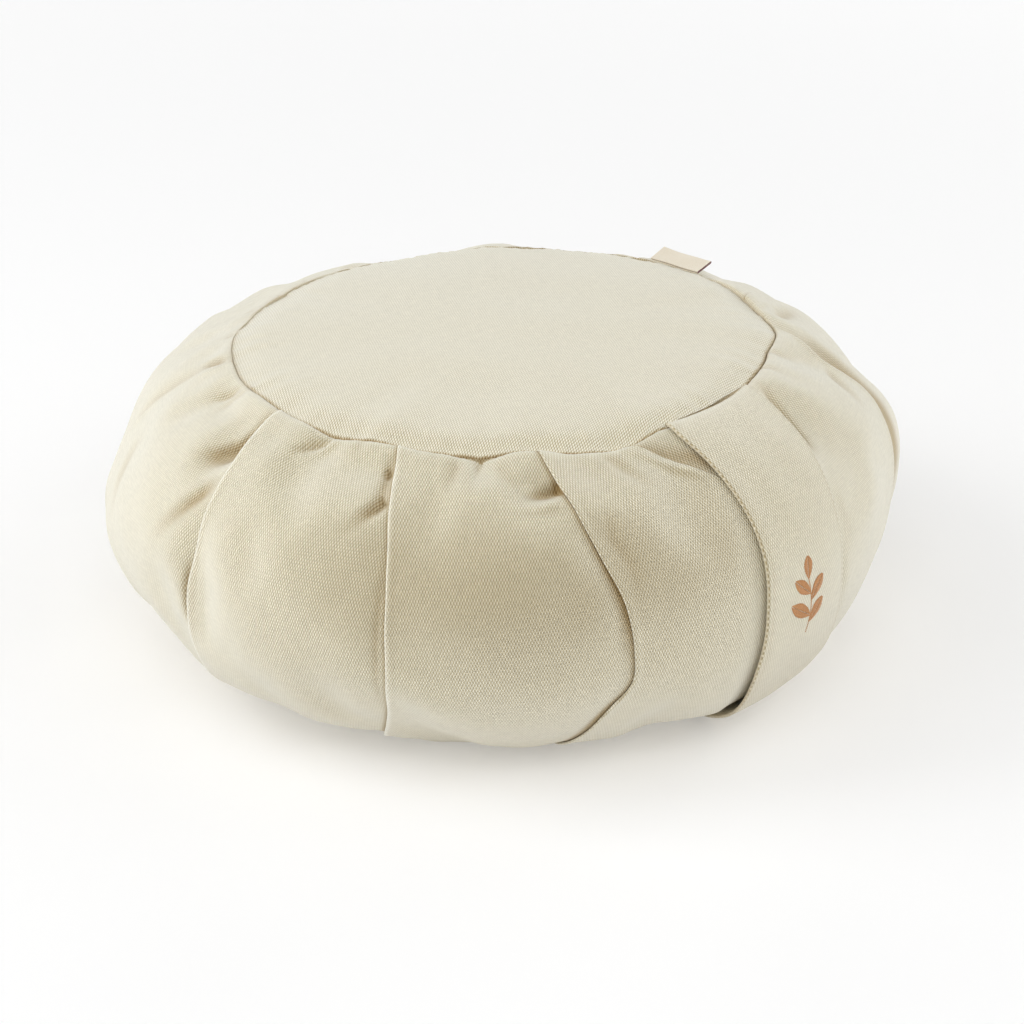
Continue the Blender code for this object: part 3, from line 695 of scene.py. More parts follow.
def mesh_of(skin: Skin, name: str) -> Mesh:
    """Turn a finished skin into a mesh and free it."""
    mesh = bpy.data.meshes.new(name)
    skin.to_mesh(mesh)
    skin.free()
    return mesh


def laid_grid(rings: Array, uvs: Pair | None = None, marks: dict[str, Array] | None = None) -> Mesh:
    """A skin over closed rings of points: a flat grid laid over them and welded where it meets.

    Args:
        rings: Points as rows of rings, from one closed end to the other.
        uvs: Cloth coordinates in metres at the left and the right column of each strip of faces.
        marks: Named numbers kept at each point, with the rings' rows and columns.

    Returns:
        The closed mesh, shaded smooth.
    """
    along, around = rings.shape[0] - 1, rings.shape[1]
    skin = bmesh.new()
    bmesh.ops.create_grid(skin, x_segments=around, y_segments=along, size=1.0)
    cloth = skin.loops.layers.uv.new("cloth")
    layers = {name: skin.verts.layers.float.new(name) for name in (marks or {})}
    for vertex in skin.verts:
        column = round((vertex.co.x + 1.0) / 2.0 * around)
        row = round((vertex.co.y + 1.0) / 2.0 * along)
        for loop in vertex.link_loops:
            loop[cloth].uv = (column, row)
        for name, layer in layers.items():
            vertex[layer] = marks[name][row, column % around]
        vertex.co = rings[row, column % around]
    bmesh.ops.remove_doubles(skin, verts=skin.verts, dist=WELD)
    bmesh.ops.recalc_face_normals(skin, faces=skin.faces)
    mesh = mesh_of(skin, "skin")
    if uvs is not None:
        lay_cloth(mesh, uvs)
    mesh.shade_smooth()
    return mesh


def flat_cloth(rings: Array) -> Pair:
    """Cloth coordinates of a flat panel, at the left and the right column of each strip of faces."""
    flat = rings[:, :, :2]
    return flat, np.roll(flat, -1, axis=1)


def lay_cloth(mesh: Mesh, uvs: Pair) -> None:
    """Turn the grid's rows and columns, kept in its UV layer, into lengths of cloth.

    Args:
        mesh: The laid grid.
        uvs: Cloth coordinates at the left and the right column of each strip of faces.
    """
    layer = mesh.uv_layers["cloth"]
    count = len(mesh.loops)
    spots = np.zeros(count * 2, np.float32)
    layer.uv.foreach_get("vector", spots)
    spots = spots.reshape(-1, 2)
    column, row = np.rint(spots[:, 0]).astype(int), np.rint(spots[:, 1]).astype(int)
    starts = np.zeros(len(mesh.polygons), int)
    totals = np.zeros(len(mesh.polygons), int)
    mesh.polygons.foreach_get("loop_start", starts)
    mesh.polygons.foreach_get("loop_total", totals)
    face = np.repeat(np.arange(len(starts)), totals)
    strip = np.minimum.reduceat(column, starts)[face]
    left, right = uvs
    is_left = column == strip
    strip = np.minimum(strip, left.shape[1] - 1)
    lengths = np.where(is_left[:, None], left[row, strip], right[row, strip])
    layer.uv.foreach_set("vector", lengths.astype(np.float32).ravel())


def add_piece(name: str, mesh: Mesh, material: Material) -> Piece:
    """Link a mesh as a finished piece at the origin.

    Args:
        name: The piece's name.
        mesh: Its mesh, with its place in its points.
        material: Its material.

    Returns:
        The linked object.
    """
    mesh.name = name
    mesh.materials.clear()
    mesh.materials.append(material)
    piece = bpy.data.objects.new(name, mesh)
    bpy.context.scene.collection.objects.link(piece)
    return piece


# Finishes


class NodeBench:
    """Wires the nodes of one material."""

    def __init__(self, name: str) -> None:
        """Start a material with its Principled shader."""
        self.material = bpy.data.materials.new(name)
        self.material.use_nodes = True
        self.tree = self.material.node_tree
        self.shader = self.tree.nodes["Principled BSDF"]

    def put(self, kind: str, **settings: object) -> bpy.types.Node:
        """Add a node and give it its settings."""
        node = self.tree.nodes.new(kind)
        for name, value in settings.items():
            setattr(node, name, value)
        return node

    def join(self, source: object, target: Socket) -> None:
        """Link a socket to an input, or set the input's value."""
        if isinstance(source, Socket):
            self.tree.links.new(source, target)
        else:
            target.default_value = source

    def math(self, operation: str, *values: object, clamp: bool = False) -> Socket:
        """A Math node on sockets or numbers."""
        node = self.put("ShaderNodeMath", operation=operation, use_clamp=clamp)
        for order, value in enumerate(values):
            self.join(value, node.inputs[order])
        return node.outputs[0]

    def noise(self, place: object, scale: float, detail: float = 2.0, rough: float = 0.5) -> Socket:
        """A Noise node's value at a place."""
        node = self.put("ShaderNodeTexNoise")
        self.join(place, node.inputs["Vector"])
        node.inputs["Scale"].default_value = scale
        node.inputs["Detail"].default_value = detail
        node.inputs["Roughness"].default_value = rough
        return node.outputs["Fac"]

    def blend(self, share: object, first: object, second: object, how: str = "MIX") -> Socket:
        """A colour Mix node."""
        node = self.put("ShaderNodeMix", data_type="RGBA", blend_type=how)
        self.join(share, node.inputs[0])
        self.join(first, node.inputs[6])
        self.join(second, node.inputs[7])
        return node.outputs[2]

    def spread(
        self, value: object, low: float, high: float, to_low: float = 0.0, to_high: float = 1.0
    ) -> Socket:
        """A Map Range node, clamped."""
        node = self.put("ShaderNodeMapRange", clamp=True)
        self.join(value, node.inputs[0])
        for order, number in enumerate((low, high, to_low, to_high), start=1):
            node.inputs[order].default_value = number
        return node.outputs[0]

    def mapped(self, place: object, change: str, amounts: tuple[float, float, float]) -> Socket:
        """A Mapping node that turns or stretches a place."""
        node = self.put("ShaderNodeMapping")
        self.join(place, node.inputs["Vector"])
        node.inputs[change].default_value = amounts
        return node.outputs[0]

    def split(self, place: object) -> tuple[Socket, Socket]:
        """The x and the y of a place."""
        node = self.put("ShaderNodeSeparateXYZ")
        self.join(place, node.inputs[0])
        return node.outputs[0], node.outputs[1]

    def wave(self, place: Socket, pace: float) -> Socket:
        """The sine of a place times a pace."""
        return self.math("SINE", self.math("MULTIPLY", place, pace))

    def cloth_place(self) -> Socket:
        """Cloth coordinates, as the piece's UV map holds them."""
        return self.put("ShaderNodeUVMap", uv_map="cloth").outputs[0]

    def mark(self, name: str) -> Socket:
        """A number kept on the mesh under this name."""
        return self.put("ShaderNodeAttribute", attribute_name=name).outputs["Fac"]

    def bump(self, height: object, strength: float, distance: float) -> None:
        """Raise the surface by a height, through a Bump node."""
        node = self.put("ShaderNodeBump")
        node.inputs["Strength"].default_value = strength
        node.inputs["Distance"].default_value = distance
        self.join(height, node.inputs["Height"])
        self.join(node.outputs[0], self.shader.inputs["Normal"])

    def set_shader(self, settings: dict[str, object]) -> None:
        """Set inputs of the Principled shader by their names."""
        for name, value in settings.items():
            self.shader.inputs[name].default_value = value


@dataclass(frozen=True)
class CanvasFinish:
    """Cream cotton canvas in plain weave: fine warp threads and thick weft rows.

    Seen straight on, the darker gaps between the threads show; at a slant the threads' crowns hide them.
    The gap colour is painted shade between the threads. The colour is also painted by viewing angle:
    darker face-on as painted shade, lighter and cooler at a slant as a painted sheen.
    """

    name: str = "canvas"
    crown: Colour = (0.97, 0.925, 0.805, 1.0)
    # Painted shade between the threads.
    gap: Colour = (0.50, 0.42, 0.26, 1.0)
    # Painted golden shade for creases, crevices and seams.
    deep: Colour = (0.50, 0.36, 0.17, 1.0)
    # Painted shade face-on, a painted tint at a tilt and a painted sheen at a slant.
    face_on_shade: Colour = (0.755, 0.715, 0.61, 1.0)
    tilted: Colour = (1.0, 1.0, 0.95, 1.0)
    slant_sheen: Colour = (1.04, 1.09, 1.17, 1.0)
    warp_pitch: float = 0.60 * MM
    weft_pitch: float = 1.30 * MM
    turn: float = 0.0
    contrast: float = 1.0
    weave_height: float = 0.30 * MM
    roughness: float = 0.95
    specular: float = 0.15
    near_facing: tuple[float, float] = (0.0, 0.2)
    slant_facing: tuple[float, float] = (0.2, 0.75)
    weave_fades_by: float = 0.7
    weave_at_slant: float = 0.22
    gap_level: float = -0.55
    crown_level: float = 0.45
    middle_level: float = 0.55
    slub_values: tuple[float, float] = (0.93, 1.06)
    slub_height: float = 0.8
    crease_shade_share: float = 0.85
    wobble_pitch: float = 130.0
    warp_wobble: float = 0.5 * MM
    weft_wobble: float = 0.9 * MM
    crown_share: float = 0.75
    row_share: float = 0.25

    def make(self) -> Material:
        """Build the material.

        Returns:
            The canvas material, which reads the cloth UV map and the crease attribute of painted shade and
            highlight.
        """
        bench = NodeBench(self.name)
        placed = bench.mapped(bench.cloth_place(), "Rotation", (0.0, 0.0, self.turn))
        relief = self._weave(bench, placed)
        slub = self._slubs(bench, placed)
        weight = bench.put("ShaderNodeLayerWeight")
        weight.inputs["Blend"].default_value = 0.5
        facing = weight.outputs["Facing"]
        near = bench.spread(facing, *self.near_facing)
        slant = bench.spread(facing, *self.slant_facing)
        fading = bench.spread(slant, 0.0, self.weave_fades_by, 1.0, self.weave_at_slant)
        seen = bench.math("MULTIPLY", self.contrast, fading)
        # The crease mark is painted shade where positive and a painted highlight where negative.
        crease = bench.mark("crease")
        # The negative part of the crease mark is the painted highlight on the lips; it lightens the colour.
        lip_highlight = bench.math("MULTIPLY", crease, -1.0, clamp=True)
        shown = bench.spread(relief, -0.5, 0.7, self.gap_level, self.crown_level)
        shown = bench.math("MULTIPLY", shown, seen)
        shown = bench.math("ADD", shown, bench.math("ADD", lip_highlight, self.middle_level))
        woven = bench.blend(shown, self.gap, self.crown)
        # Painted shade face-on and painted sheen at a slant, by the facing angle.
        angle_shade_and_sheen = bench.blend(slant, bench.blend(near, self.face_on_shade, self.tilted), self.slant_sheen)
        woven = bench.blend(1.0, woven, angle_shade_and_sheen, "MULTIPLY")
        tint = bench.put("ShaderNodeHueSaturation")
        bench.join(woven, tint.inputs["Color"])
        bench.join(bench.spread(slub, 0.3, 0.7, *self.slub_values), tint.inputs["Value"])
        # Painted golden shade, as strong as the positive crease mark.
        shaded_colour = bench.blend(1.0, tint.outputs[0], self.deep, "MULTIPLY")
        depth = bench.math("MULTIPLY", crease, self.crease_shade_share, clamp=True)
        bench.join(bench.blend(depth, tint.outputs[0], shaded_colour), bench.shader.inputs["Base Color"])
        height = bench.math("ADD", relief, bench.math("MULTIPLY", slub, self.slub_height))
        bench.bump(bench.math("MULTIPLY", seen, height), 1.0, self.weave_height)
        bench.set_shader({"Roughness": self.roughness, "Specular IOR Level": self.specular})
        return bench.material

    def _weave(self, bench: NodeBench, placed: Socket) -> Socket:
        """Relief of the plain weave: crowns in a brick pattern along thick rows.

        Args:
            bench: The material's bench.
            placed: Cloth coordinates.

        Returns:
            The relief, between about -0.7 and 1.
        """
        wobble = bench.math("SUBTRACT", bench.noise(placed, self.wobble_pitch), 0.5)
        across, along = bench.split(placed)
        across = bench.math("ADD", across, bench.math("MULTIPLY", wobble, self.warp_wobble))
        along = bench.math("ADD", along, bench.math("MULTIPLY", wobble, self.weft_wobble))
        warp = bench.wave(across, math.pi / self.warp_pitch)
        weft = bench.wave(along, math.pi / self.weft_pitch)
        crowns = bench.math("MULTIPLY", bench.math("MULTIPLY", warp, weft), self.crown_share)
        rows = bench.math("MULTIPLY", bench.math("ABSOLUTE", weft), self.row_share)
        return bench.math("ADD", crowns, rows)

    def _slubs(self, bench: NodeBench, placed: Socket) -> Socket:
        """Uneven threads: thick and thin places along the weft and along the warp.

        Args:
            bench: The material's bench.
            placed: Cloth coordinates.

        Returns:
            A value around a half.
        """
        total = None
        for stretch in ((190.0, 760.0, 1.0), (1500.0, 170.0, 1.0)):
            stretched = bench.mapped(placed, "Scale", stretch)
            value = bench.math("MULTIPLY", bench.noise(stretched, 1.0, 2.0, 0.6), 0.5)
            total = value if total is None else bench.math("ADD", total, value)
        return total


@dataclass(frozen=True)
class ThreadFinish:
    """Sewing or satin-stitch thread with a soft gloss."""

    name: str
    colour: Colour
    shade: Colour
    roughness: float = 0.55
    sheen: float = 0.2
    patch_pitch: float = 1900.0
    bump_strength: float = 0.4
    bump_height: float = 0.05 * MM

    def make(self) -> Material:
        """Build the material, a little uneven from thread to thread.

        Returns:
            The thread material.
        """
        bench = NodeBench(self.name)
        place = bench.put("ShaderNodeTexCoord").outputs["Object"]
        patches = bench.noise(place, self.patch_pitch, 2.0, 0.6)
        colour = bench.blend(bench.spread(patches, 0.35, 0.65), self.shade, self.colour)
        bench.join(colour, bench.shader.inputs["Base Color"])
        bench.bump(patches, self.bump_strength, self.bump_height)
        bench.set_shader({"Roughness": self.roughness, "Sheen Weight": self.sheen})
        return bench.material


@dataclass(frozen=True)
class TapeFinish:
    """Fine woven satin tape for the folded tab: a light outside and a dark inside."""

    name: str = "woven_tape"
    outside: Colour = (0.90, 0.82, 0.67, 1.0)
    rib: Colour = (0.82, 0.73, 0.57, 1.0)
    inside: Colour = (0.16, 0.035, 0.035, 1.0)
    rib_pitch: float = 0.42 * MM
    cross_share: float = 0.5
    bump_strength: float = 0.5
    bump_height: float = 0.06 * MM
    roughness: float = 0.5
    sheen: float = 0.3

    def make(self) -> Material:
        """Build the material, which reads the cloth UV map and the inside attribute.

        Returns:
            The tape material.
        """
        bench = NodeBench(self.name)
        across, along = bench.split(bench.cloth_place())
        wave = bench.wave(across, 2.0 * math.pi / self.rib_pitch)
        cross = bench.wave(along, 4.0 * math.pi / self.rib_pitch)
        relief = bench.math("ADD", wave, bench.math("MULTIPLY", cross, self.cross_share))
        woven = bench.blend(bench.spread(relief, -1.2, 1.2), self.rib, self.outside)
        colour = bench.blend(bench.spread(bench.mark("inside"), 0.4, 0.6), woven, self.inside)
        bench.join(colour, bench.shader.inputs["Base Color"])
        bench.bump(relief, self.bump_strength, self.bump_height)
        bench.set_shader({"Roughness": self.roughness, "Sheen Weight": self.sheen})
        return bench.material


# Cloth pieces


@dataclass
class FillingSwell:
    """How the filling pushes the cloth out between its seams, found with Blender's cloth."""

    voxel: float = 6.0 * MM
    pressure: float = 4.0
    spare_cloth: float = 0.035
    last_frame: int = 20
    cap: float = 3.0 * MM
    hollow_share: float = 0.5
    lid_shares: tuple[float, ...] = (0.0, 0.35, 0.7)
    lid_rise: float = 2.0 * MM
    sewn_margin: float = 2.0 * MM
    quality: int = 5
    mass: float = 0.3
    stretch_stiffness: float = 18.0
    shear_stiffness: float = 6.0
    bending_stiffness: float = 0.6
    near_gap: float = 2.0 * MM
    even_reach: int = 12
    columns: int = 150
    rows: int = 44
    neighbours: int = 5
    samples_round: int = 240
    samples_down: int = 56
    tree: KDTree | None = None
    moves: Array = field(default_factory=lambda: np.zeros((0, 3)))

    def start_shape(self) -> Piece:
        """The plain side as a closed mesh of even faces, a little slack.

        Returns:
            The remeshed object.
        """
        falls = np.linspace(0.0, 1.0, self.rows)[:, None]
        azimuths = all_round(self.columns)[None, :]
        sunk = -FORM.swelling(HOLLOWS, azimuths, falls) * self.hollow_share
        wall = FORM.side_point(*crossed(azimuths, falls), sunk)
        shares = np.array(self.lid_shares)[:, None]
        turns = azimuths + 0.0 * shares
        top = polar(turns, shares * FORM.seam_radius, FORM.seam_height + self.lid_rise * (1.0 - shares))
        low = polar(turns, shares[::-1] * FORM.seam_radius, 0.0 * shares + FORM.floor_clearance)
        piece = add_piece("filling_trial", laid_grid(np.concatenate([top, wall, low])), None)
        remesh = piece.modifiers.new("even", "REMESH")
        remesh.mode = "VOXEL"
        remesh.voxel_size = self.voxel
        evaluated = piece.evaluated_get(bpy.context.evaluated_depsgraph_get())
        mesh = bpy.data.meshes.new_from_object(evaluated)
        piece.modifiers.clear()
        piece.data = mesh
        return piece

    def run(self) -> None:
        """Swell the trial shape from frame 1 to the last one and keep how far each point moved."""
        scene = bpy.context.scene
        piece = self.start_shape()
        rest = np.array([vertex.co for vertex in piece.data.vertices])
        radius = np.hypot(rest[:, 0], rest[:, 1])
        sewn = np.flatnonzero(radius < FORM.seam_radius + self.sewn_margin)
        pins = piece.vertex_groups.new(name="sewn")
        pins.add([int(order) for order in sewn], 1.0, "REPLACE")
        cloth = piece.modifiers.new("filling", "CLOTH")
        settings = cloth.settings
        settings.quality = self.quality
        settings.mass = self.mass
        settings.tension_stiffness = self.stretch_stiffness
        settings.compression_stiffness = self.stretch_stiffness
        settings.shear_stiffness = self.shear_stiffness
        settings.bending_stiffness = self.bending_stiffness
        settings.use_pressure = True
        settings.uniform_pressure_force = self.pressure
        settings.shrink_min = -self.spare_cloth
        settings.vertex_group_mass = pins.name
        settings.effector_weights.gravity = 0.0
        cloth.point_cache.frame_start = 1
        cloth.point_cache.frame_end = self.last_frame
        for step in range(1, self.last_frame + 1):
            scene.frame_set(step)
        evaluated = piece.evaluated_get(bpy.context.evaluated_depsgraph_get())
        settled = np.zeros(len(rest) * 3, np.float32)
        evaluated.data.vertices.foreach_get("co", settled)
        moved = settled.reshape(-1, 3).astype(float) - rest
        scene.frame_set(1)
        length = np.linalg.norm(moved, axis=1, keepdims=True)
        self.moves = moved * np.minimum(1.0, self.cap / np.maximum(length, TINY))
        self.tree = KDTree(len(rest))
        for order, place in enumerate(rest):
            self.tree.insert(place, order)
        self.tree.balance()
        bpy.data.objects.remove(piece, do_unlink=True)
        LOG.info("filling swelled, mean move %.2f mm", float(length.mean()) / MM)

    def outward(self, azimuth: Array, fall: Array) -> Array:
        """How far the swollen cloth stands out at each place, less the even part of the swelling.

        Args:
            azimuth: Degrees round the cushion.
            fall: Share of the way down the side.

        Returns:
            Stand-out in metres.
        """
        if self.tree is None:
            return np.zeros(np.broadcast(azimuth, fall).shape)
        coarse = self.sampled()
        fine = spread_mean(coarse, 1) - spread_mean(coarse, self.even_reach)
        across = (np.asarray(azimuth) + 180.0) % 360.0 / 360.0 * self.samples_round
        along = np.clip(fall, 0.0, 1.0) * (self.samples_down - 1)
        column = np.floor(across).astype(int)
        row = np.minimum(np.floor(along).astype(int), self.samples_down - 2)
        part_across, part_along = across - column, along - row
        column, beside = column % self.samples_round, (column + 1) % self.samples_round
        upper = fine[row, column] * (1.0 - part_across) + fine[row, beside] * part_across
        lower = fine[row + 1, column] * (1.0 - part_across) + fine[row + 1, beside] * part_across
        return upper * (1.0 - part_along) + lower * part_along

    def sampled(self) -> Array:
        """How far the swollen cloth stands out at even places, from the nearest points' moves.

        Returns:
            Stand-out in metres, with a row for each ring of places.
        """
        turns, falls = crossed(
            all_round(self.samples_round)[None, :], np.linspace(0.0, 1.0, self.samples_down)[:, None]
        )
        places = FORM.side_point(turns, falls)
        normals = FORM.side_point(turns, falls, 1.0 * MM) - places
        normals /= np.maximum(np.linalg.norm(normals, axis=-1, keepdims=True), TINY)
        coarse = np.zeros(places.shape[:2])
        for row, column in np.ndindex(coarse.shape):
            total, weight = 0.0, 0.0
            for _, order, gap in self.tree.find_n(places[row, column], self.neighbours):
                share = 1.0 / (gap + self.near_gap)
                total += share * float(self.moves[order] @ normals[row, column])
                weight += share
            coarse[row, column] = total / weight
        return coarse


def spread_mean(values: Array, reach: int) -> Array:
    """Mean of each place and its neighbours, round the rings and along them.

    Args:
        values: Numbers in rows of rings.
        reach: How many neighbours each way.

    Returns:
        The means.
    """
    result = values
    for axis, mode in ((1, "wrap"), (0, "edge")):
        widths = [(0, 0), (0, 0)]
        widths[axis] = (reach, reach)
        padded = np.pad(result, widths, mode=mode)
        window = np.lib.stride_tricks.sliding_window_view(padded, 2 * reach + 1, axis=axis)
        result = window.mean(axis=-1)
    return result


@dataclass(frozen=True)
class LaidCloth:
    """The band's cloth laid in its pleats, with a row for each ring of points.

    turns are the points' azimuths, raised their stand-outs, folded their marks of painted shade in and beside
    the folds and of painted highlight on the lips, and owner the panel that each column belongs to. cloth
    holds the crosswise lengths at the left and the right of each strip.
    """

    turns: Array
    raised: Array
    folded: Array
    owner: Array
    cloth: Pair


@dataclass
class SideBand:
    """The pleated canvas side: panels between knife pleats, rolled over into the seams."""

    lip_turns: int = 7
    lip_thickness: float = 2.4 * MM
    lip_share: float = 0.84
    crevice_gap: float = 0.4 * MM
    gap_share: float = 0.12
    sewn_pitch: float = 0.22 * MM
    tuck_ramp: float = 0.02
    lift_ramp: float = 0.24
    lift_at_seam: float = 0.3
    dip_ramp: float = 0.13
    dip_at_seam: float = 0.35
    step_wave: float = 0.14
    low_from: float = 0.5
    low_ramp: float = 0.2
    waver: float = 0.07
    lift_reach: float = 9 * MM
    dip_reach: float = 9 * MM
    bead: float = 0.3 * MM
    bead_reach: float = 1.6 * MM
    bead_full_lift: float = 0.8 * MM
    # Painted shade inside the folds and on the lower layer beside them.
    crevice_shade: float = 0.6
    crevice_shade_reach: float = 1.4 * MM
    # Painted warm shade, growing towards the bottom of the band.
    low_shade: float = 0.12
    low_shade_from: float = 0.5
    low_shade_ramp: float = 0.25
    # Reach of the painted highlight on the upper layer beside a lip.
    lip_highlight_reach: float = 1.0 * MM
    full_shade: float = 4.2 * MM
    most_shade: float = 0.7
    # Reach of the painted shade along the top seam.
    seam_shade_reach: float = 1.1 * MM
    fullness_power: float = 1.2
    panel_roundness: float = 1.2
    front_pitch: float = 1.9 * MM
    back_pitch: float = 3.6 * MM
    front_span: tuple[float, float] = (-100.0, 118.0)
    least_steps: int = 6
    panel_shift: float = 0.137
    cover_ramp: float = 3.0
    column_cluster: float = 0.5
    rows: int = 130
    row_cluster: float = 0.6
    roll_rows: int = 4
    seam_depth: float = 1.3 * MM
    seam_reach: float = 1.8 * MM
    pebble: float = 0.38 * MM
    pebble_pitch: float = 2.9 * MM
    pebble_reach: float = 2.2 * MM
    unevenness: float = 0.28 * MM
    broad_lumps: tuple[float, float] = (0.055, 0.05)
    fine_lumps: tuple[float, float] = (0.017, 0.02)
    fine_share: float = 0.3
    crease_at_seam: float = 0.3
    recess: float = 2.3 * MM
    recess_lean: float = 0.1 * MM
    recess_floor: float = 3.2 * MM
    recess_shares: tuple[float, ...] = (0.0, 0.45, 0.8, 0.96)
    recess_cloth: tuple[float, float] = (-30 * MM, -3 * MM)
    rolled_share: float = 0.7
    rolled_cloth: tuple[float, float] = (-2 * MM, -0.4 * MM)
    underside_shares: tuple[float, ...] = (1.0, 0.5, 0.0)
    underside_cloth: tuple[float, ...] = (2 * MM, 20 * MM, 60 * MM)
    fill: float = 0.95

    def falls(self) -> Array:
        """Falls of the wall's rings, closer together towards the seams."""
        return clustered(np.linspace(0.0, 1.0, self.rows), self.row_cluster)

    def strength(self, fall: Array, reach: float) -> Array:
        """Nothing at the two seams and all at this reach from them."""
        return smooth_step(np.minimum(fall, 1.0 - fall) / reach)

    def down_wave(self, pleat: Pleat, fall: Array, pace: float, turn: float) -> Array:
        """A wave down the side that starts at a different place in each fold."""
        return np.sin(2.0 * math.pi * (pace * fall + pleat.edge[0] / turn))

    def step_at(self, pleat: Pleat, fall: Array) -> Pair:
        """Lift of the upper layer and dip of the lower layer beside a fold.

        Args:
            pleat: The pleat.
            fall: Where they are read.

        Returns:
            Lift and dip in metres.
        """
        opened = self.strength(fall, self.tuck_ramp)
        wave = 1.0 + self.step_wave * self.down_wave(pleat, fall, 2.3, 50.0)
        wave = wave * (1.0 - (1.0 - pleat.low) * smooth_step((fall - self.low_from) / self.low_ramp))
        lift = self.lift_at_seam + (1.0 - self.lift_at_seam) * self.strength(fall, self.lift_ramp)
        dip = self.dip_at_seam + (1.0 - self.dip_at_seam) * self.strength(fall, self.dip_ramp)
        return pleat.lift * MM * lift * opened * wave, pleat.dip * MM * dip * opened * wave

    def edge_of(self, pleat: Pleat, fall: Array) -> Array:
        """Azimuth of a folded edge, which wavers a little on its way down."""
        waver = self.down_wave(pleat, fall, 5.1, 77.0)
        waver = waver + 0.6 * self.down_wave(pleat, fall, 9.7, 31.0)
        steady = self.strength(fall, 0.12)
        return through(pleat.falls, pleat.edge, fall) + self.waver * waver * steady

    def fold_columns(self, pleat: Pleat, fall: Array) -> tuple[Array, Array, Array, int]:
        """The columns that go round one fold, left to right.

        Args:
            pleat: The pleat.
            fall: Falls of the rings, one in each row.

        Returns:
            Azimuths, stand-outs and marks of painted shade and highlight with a row for each ring, and the
            fold's deepest column.
        """
        opened = self.strength(fall, self.tuck_ramp)
        lift, dip = self.step_at(pleat, fall)
        lip = np.minimum(self.lip_thickness, self.lip_share * (lift + dip))
        gap = np.minimum(self.crevice_gap, self.gap_share * (lift + dip))
        tuck = pleat.tuck * MM
        below = max(3, (pleat.columns - self.lip_turns) // 2)
        above = pleat.columns - self.lip_turns - below
        # inside holds painted golden shade, strongest in the tuck and under the lip.
        reaches, raised, inside = [], [], []
        for step in range(below):
            share = step / below
            reaches.append(tuck * share ** 1.4 * np.ones_like(fall))
            raised.append(-dip - gap * smooth_step(share * 2.0))
            inside.append(self.crevice_shade + (1.0 - self.crevice_shade) * min(1.0, share * 3.0))
        deepest = len(reaches)
        reaches.append(tuck * np.ones_like(fall))
        raised.append(-dip - gap / 2.0)
        inside.append(1.0)
        for step in range(1, above):
            share = 1.0 - step / above
            reach = self.lip_thickness + share ** 1.2 * (tuck - self.lip_thickness)
            reaches.append(reach * np.ones_like(fall))
            rise = smooth_step(np.clip((0.8 - share) / 0.8, 0.0, 1.0))
            raised.append(-dip + rise * (lift - lip + dip))
            inside.append(1.0)
        # On the lip, painted golden shade darkens the underside and the painted highlight lightens the top.
        for step in range(self.lip_turns):
            outer = step / (self.lip_turns - 1)
            turn = math.pi * (outer - 0.5)
            reaches.append(lip / 2.0 * (1.0 - math.cos(turn)) + 0.0 * fall)
            raised.append(lift - lip / 2.0 + lip / 2.0 * math.sin(turn))
            inside.append(0.7 * max(0.0, 1.0 - 3.0 * outer) - pleat.lip_highlight * smooth_step(2.0 * outer - 0.6))
        reach_table = np.stack(reaches, axis=1)
        raise_table = np.stack(raised, axis=1)
        mark_table = np.array(inside)[None, :] * opened[:, None]
        count = reach_table.shape[1]
        sewn = (np.arange(count) - (count - 1) / 2.0) * self.sewn_pitch
        across = sewn + opened[:, None] * (reach_table - sewn)
        turned = -pleat.side.value * FORM.degrees_of(across, fall[:, None])
        azimuths = self.edge_of(pleat, fall)[:, None] + turned
        if pleat.side is RIGHT:
            azimuths, raise_table, mark_table = (
                table[:, ::-1] for table in (azimuths, raise_table, mark_table)
            )
            deepest = count - 1 - deepest
        return azimuths, raise_table, mark_table, deepest

    def beside_fold(self, pleat: Pleat, distance: Array, is_upper: bool, fall: Array) -> Array:
        """What a fold adds to the panel beside it.

        Args:
            pleat: The pleat.
            distance: Metres from the folded edge.
            is_upper: Whether the panel is the fold's upper layer.
            fall: Falls of the rings.

        Returns:
            Stand-out in metres.
        """
        lift, dip = self.step_at(pleat, fall)
        if is_upper:
            bead = self.bead * np.minimum(1.0, lift / self.bead_full_lift)[:, None]
            sprung = bead * (bell(distance, self.bead_reach) - 1.0)
            fade = np.exp(-distance / self.lift_reach)
            return lift[:, None] * fade + sprung * fade
        return -dip[:, None] * bell(distance, self.dip_reach)

    def panel_count(self, pleat: Pleat, following: Pleat) -> int:
        """How many steps a panel takes at its widest, fine where the cushion is seen closest."""
        first = pleat.edge_at(0.5)
        width = (following.edge_at(0.5) - first) % 360.0
        middle = float(turn_between(0.0, first + width / 2.0))
        is_front = self.front_span[0] < middle < self.front_span[1]
        pitch = self.front_pitch if is_front else self.back_pitch
        return max(self.least_steps, round(math.radians(width) * FORM.widest_radius / pitch))

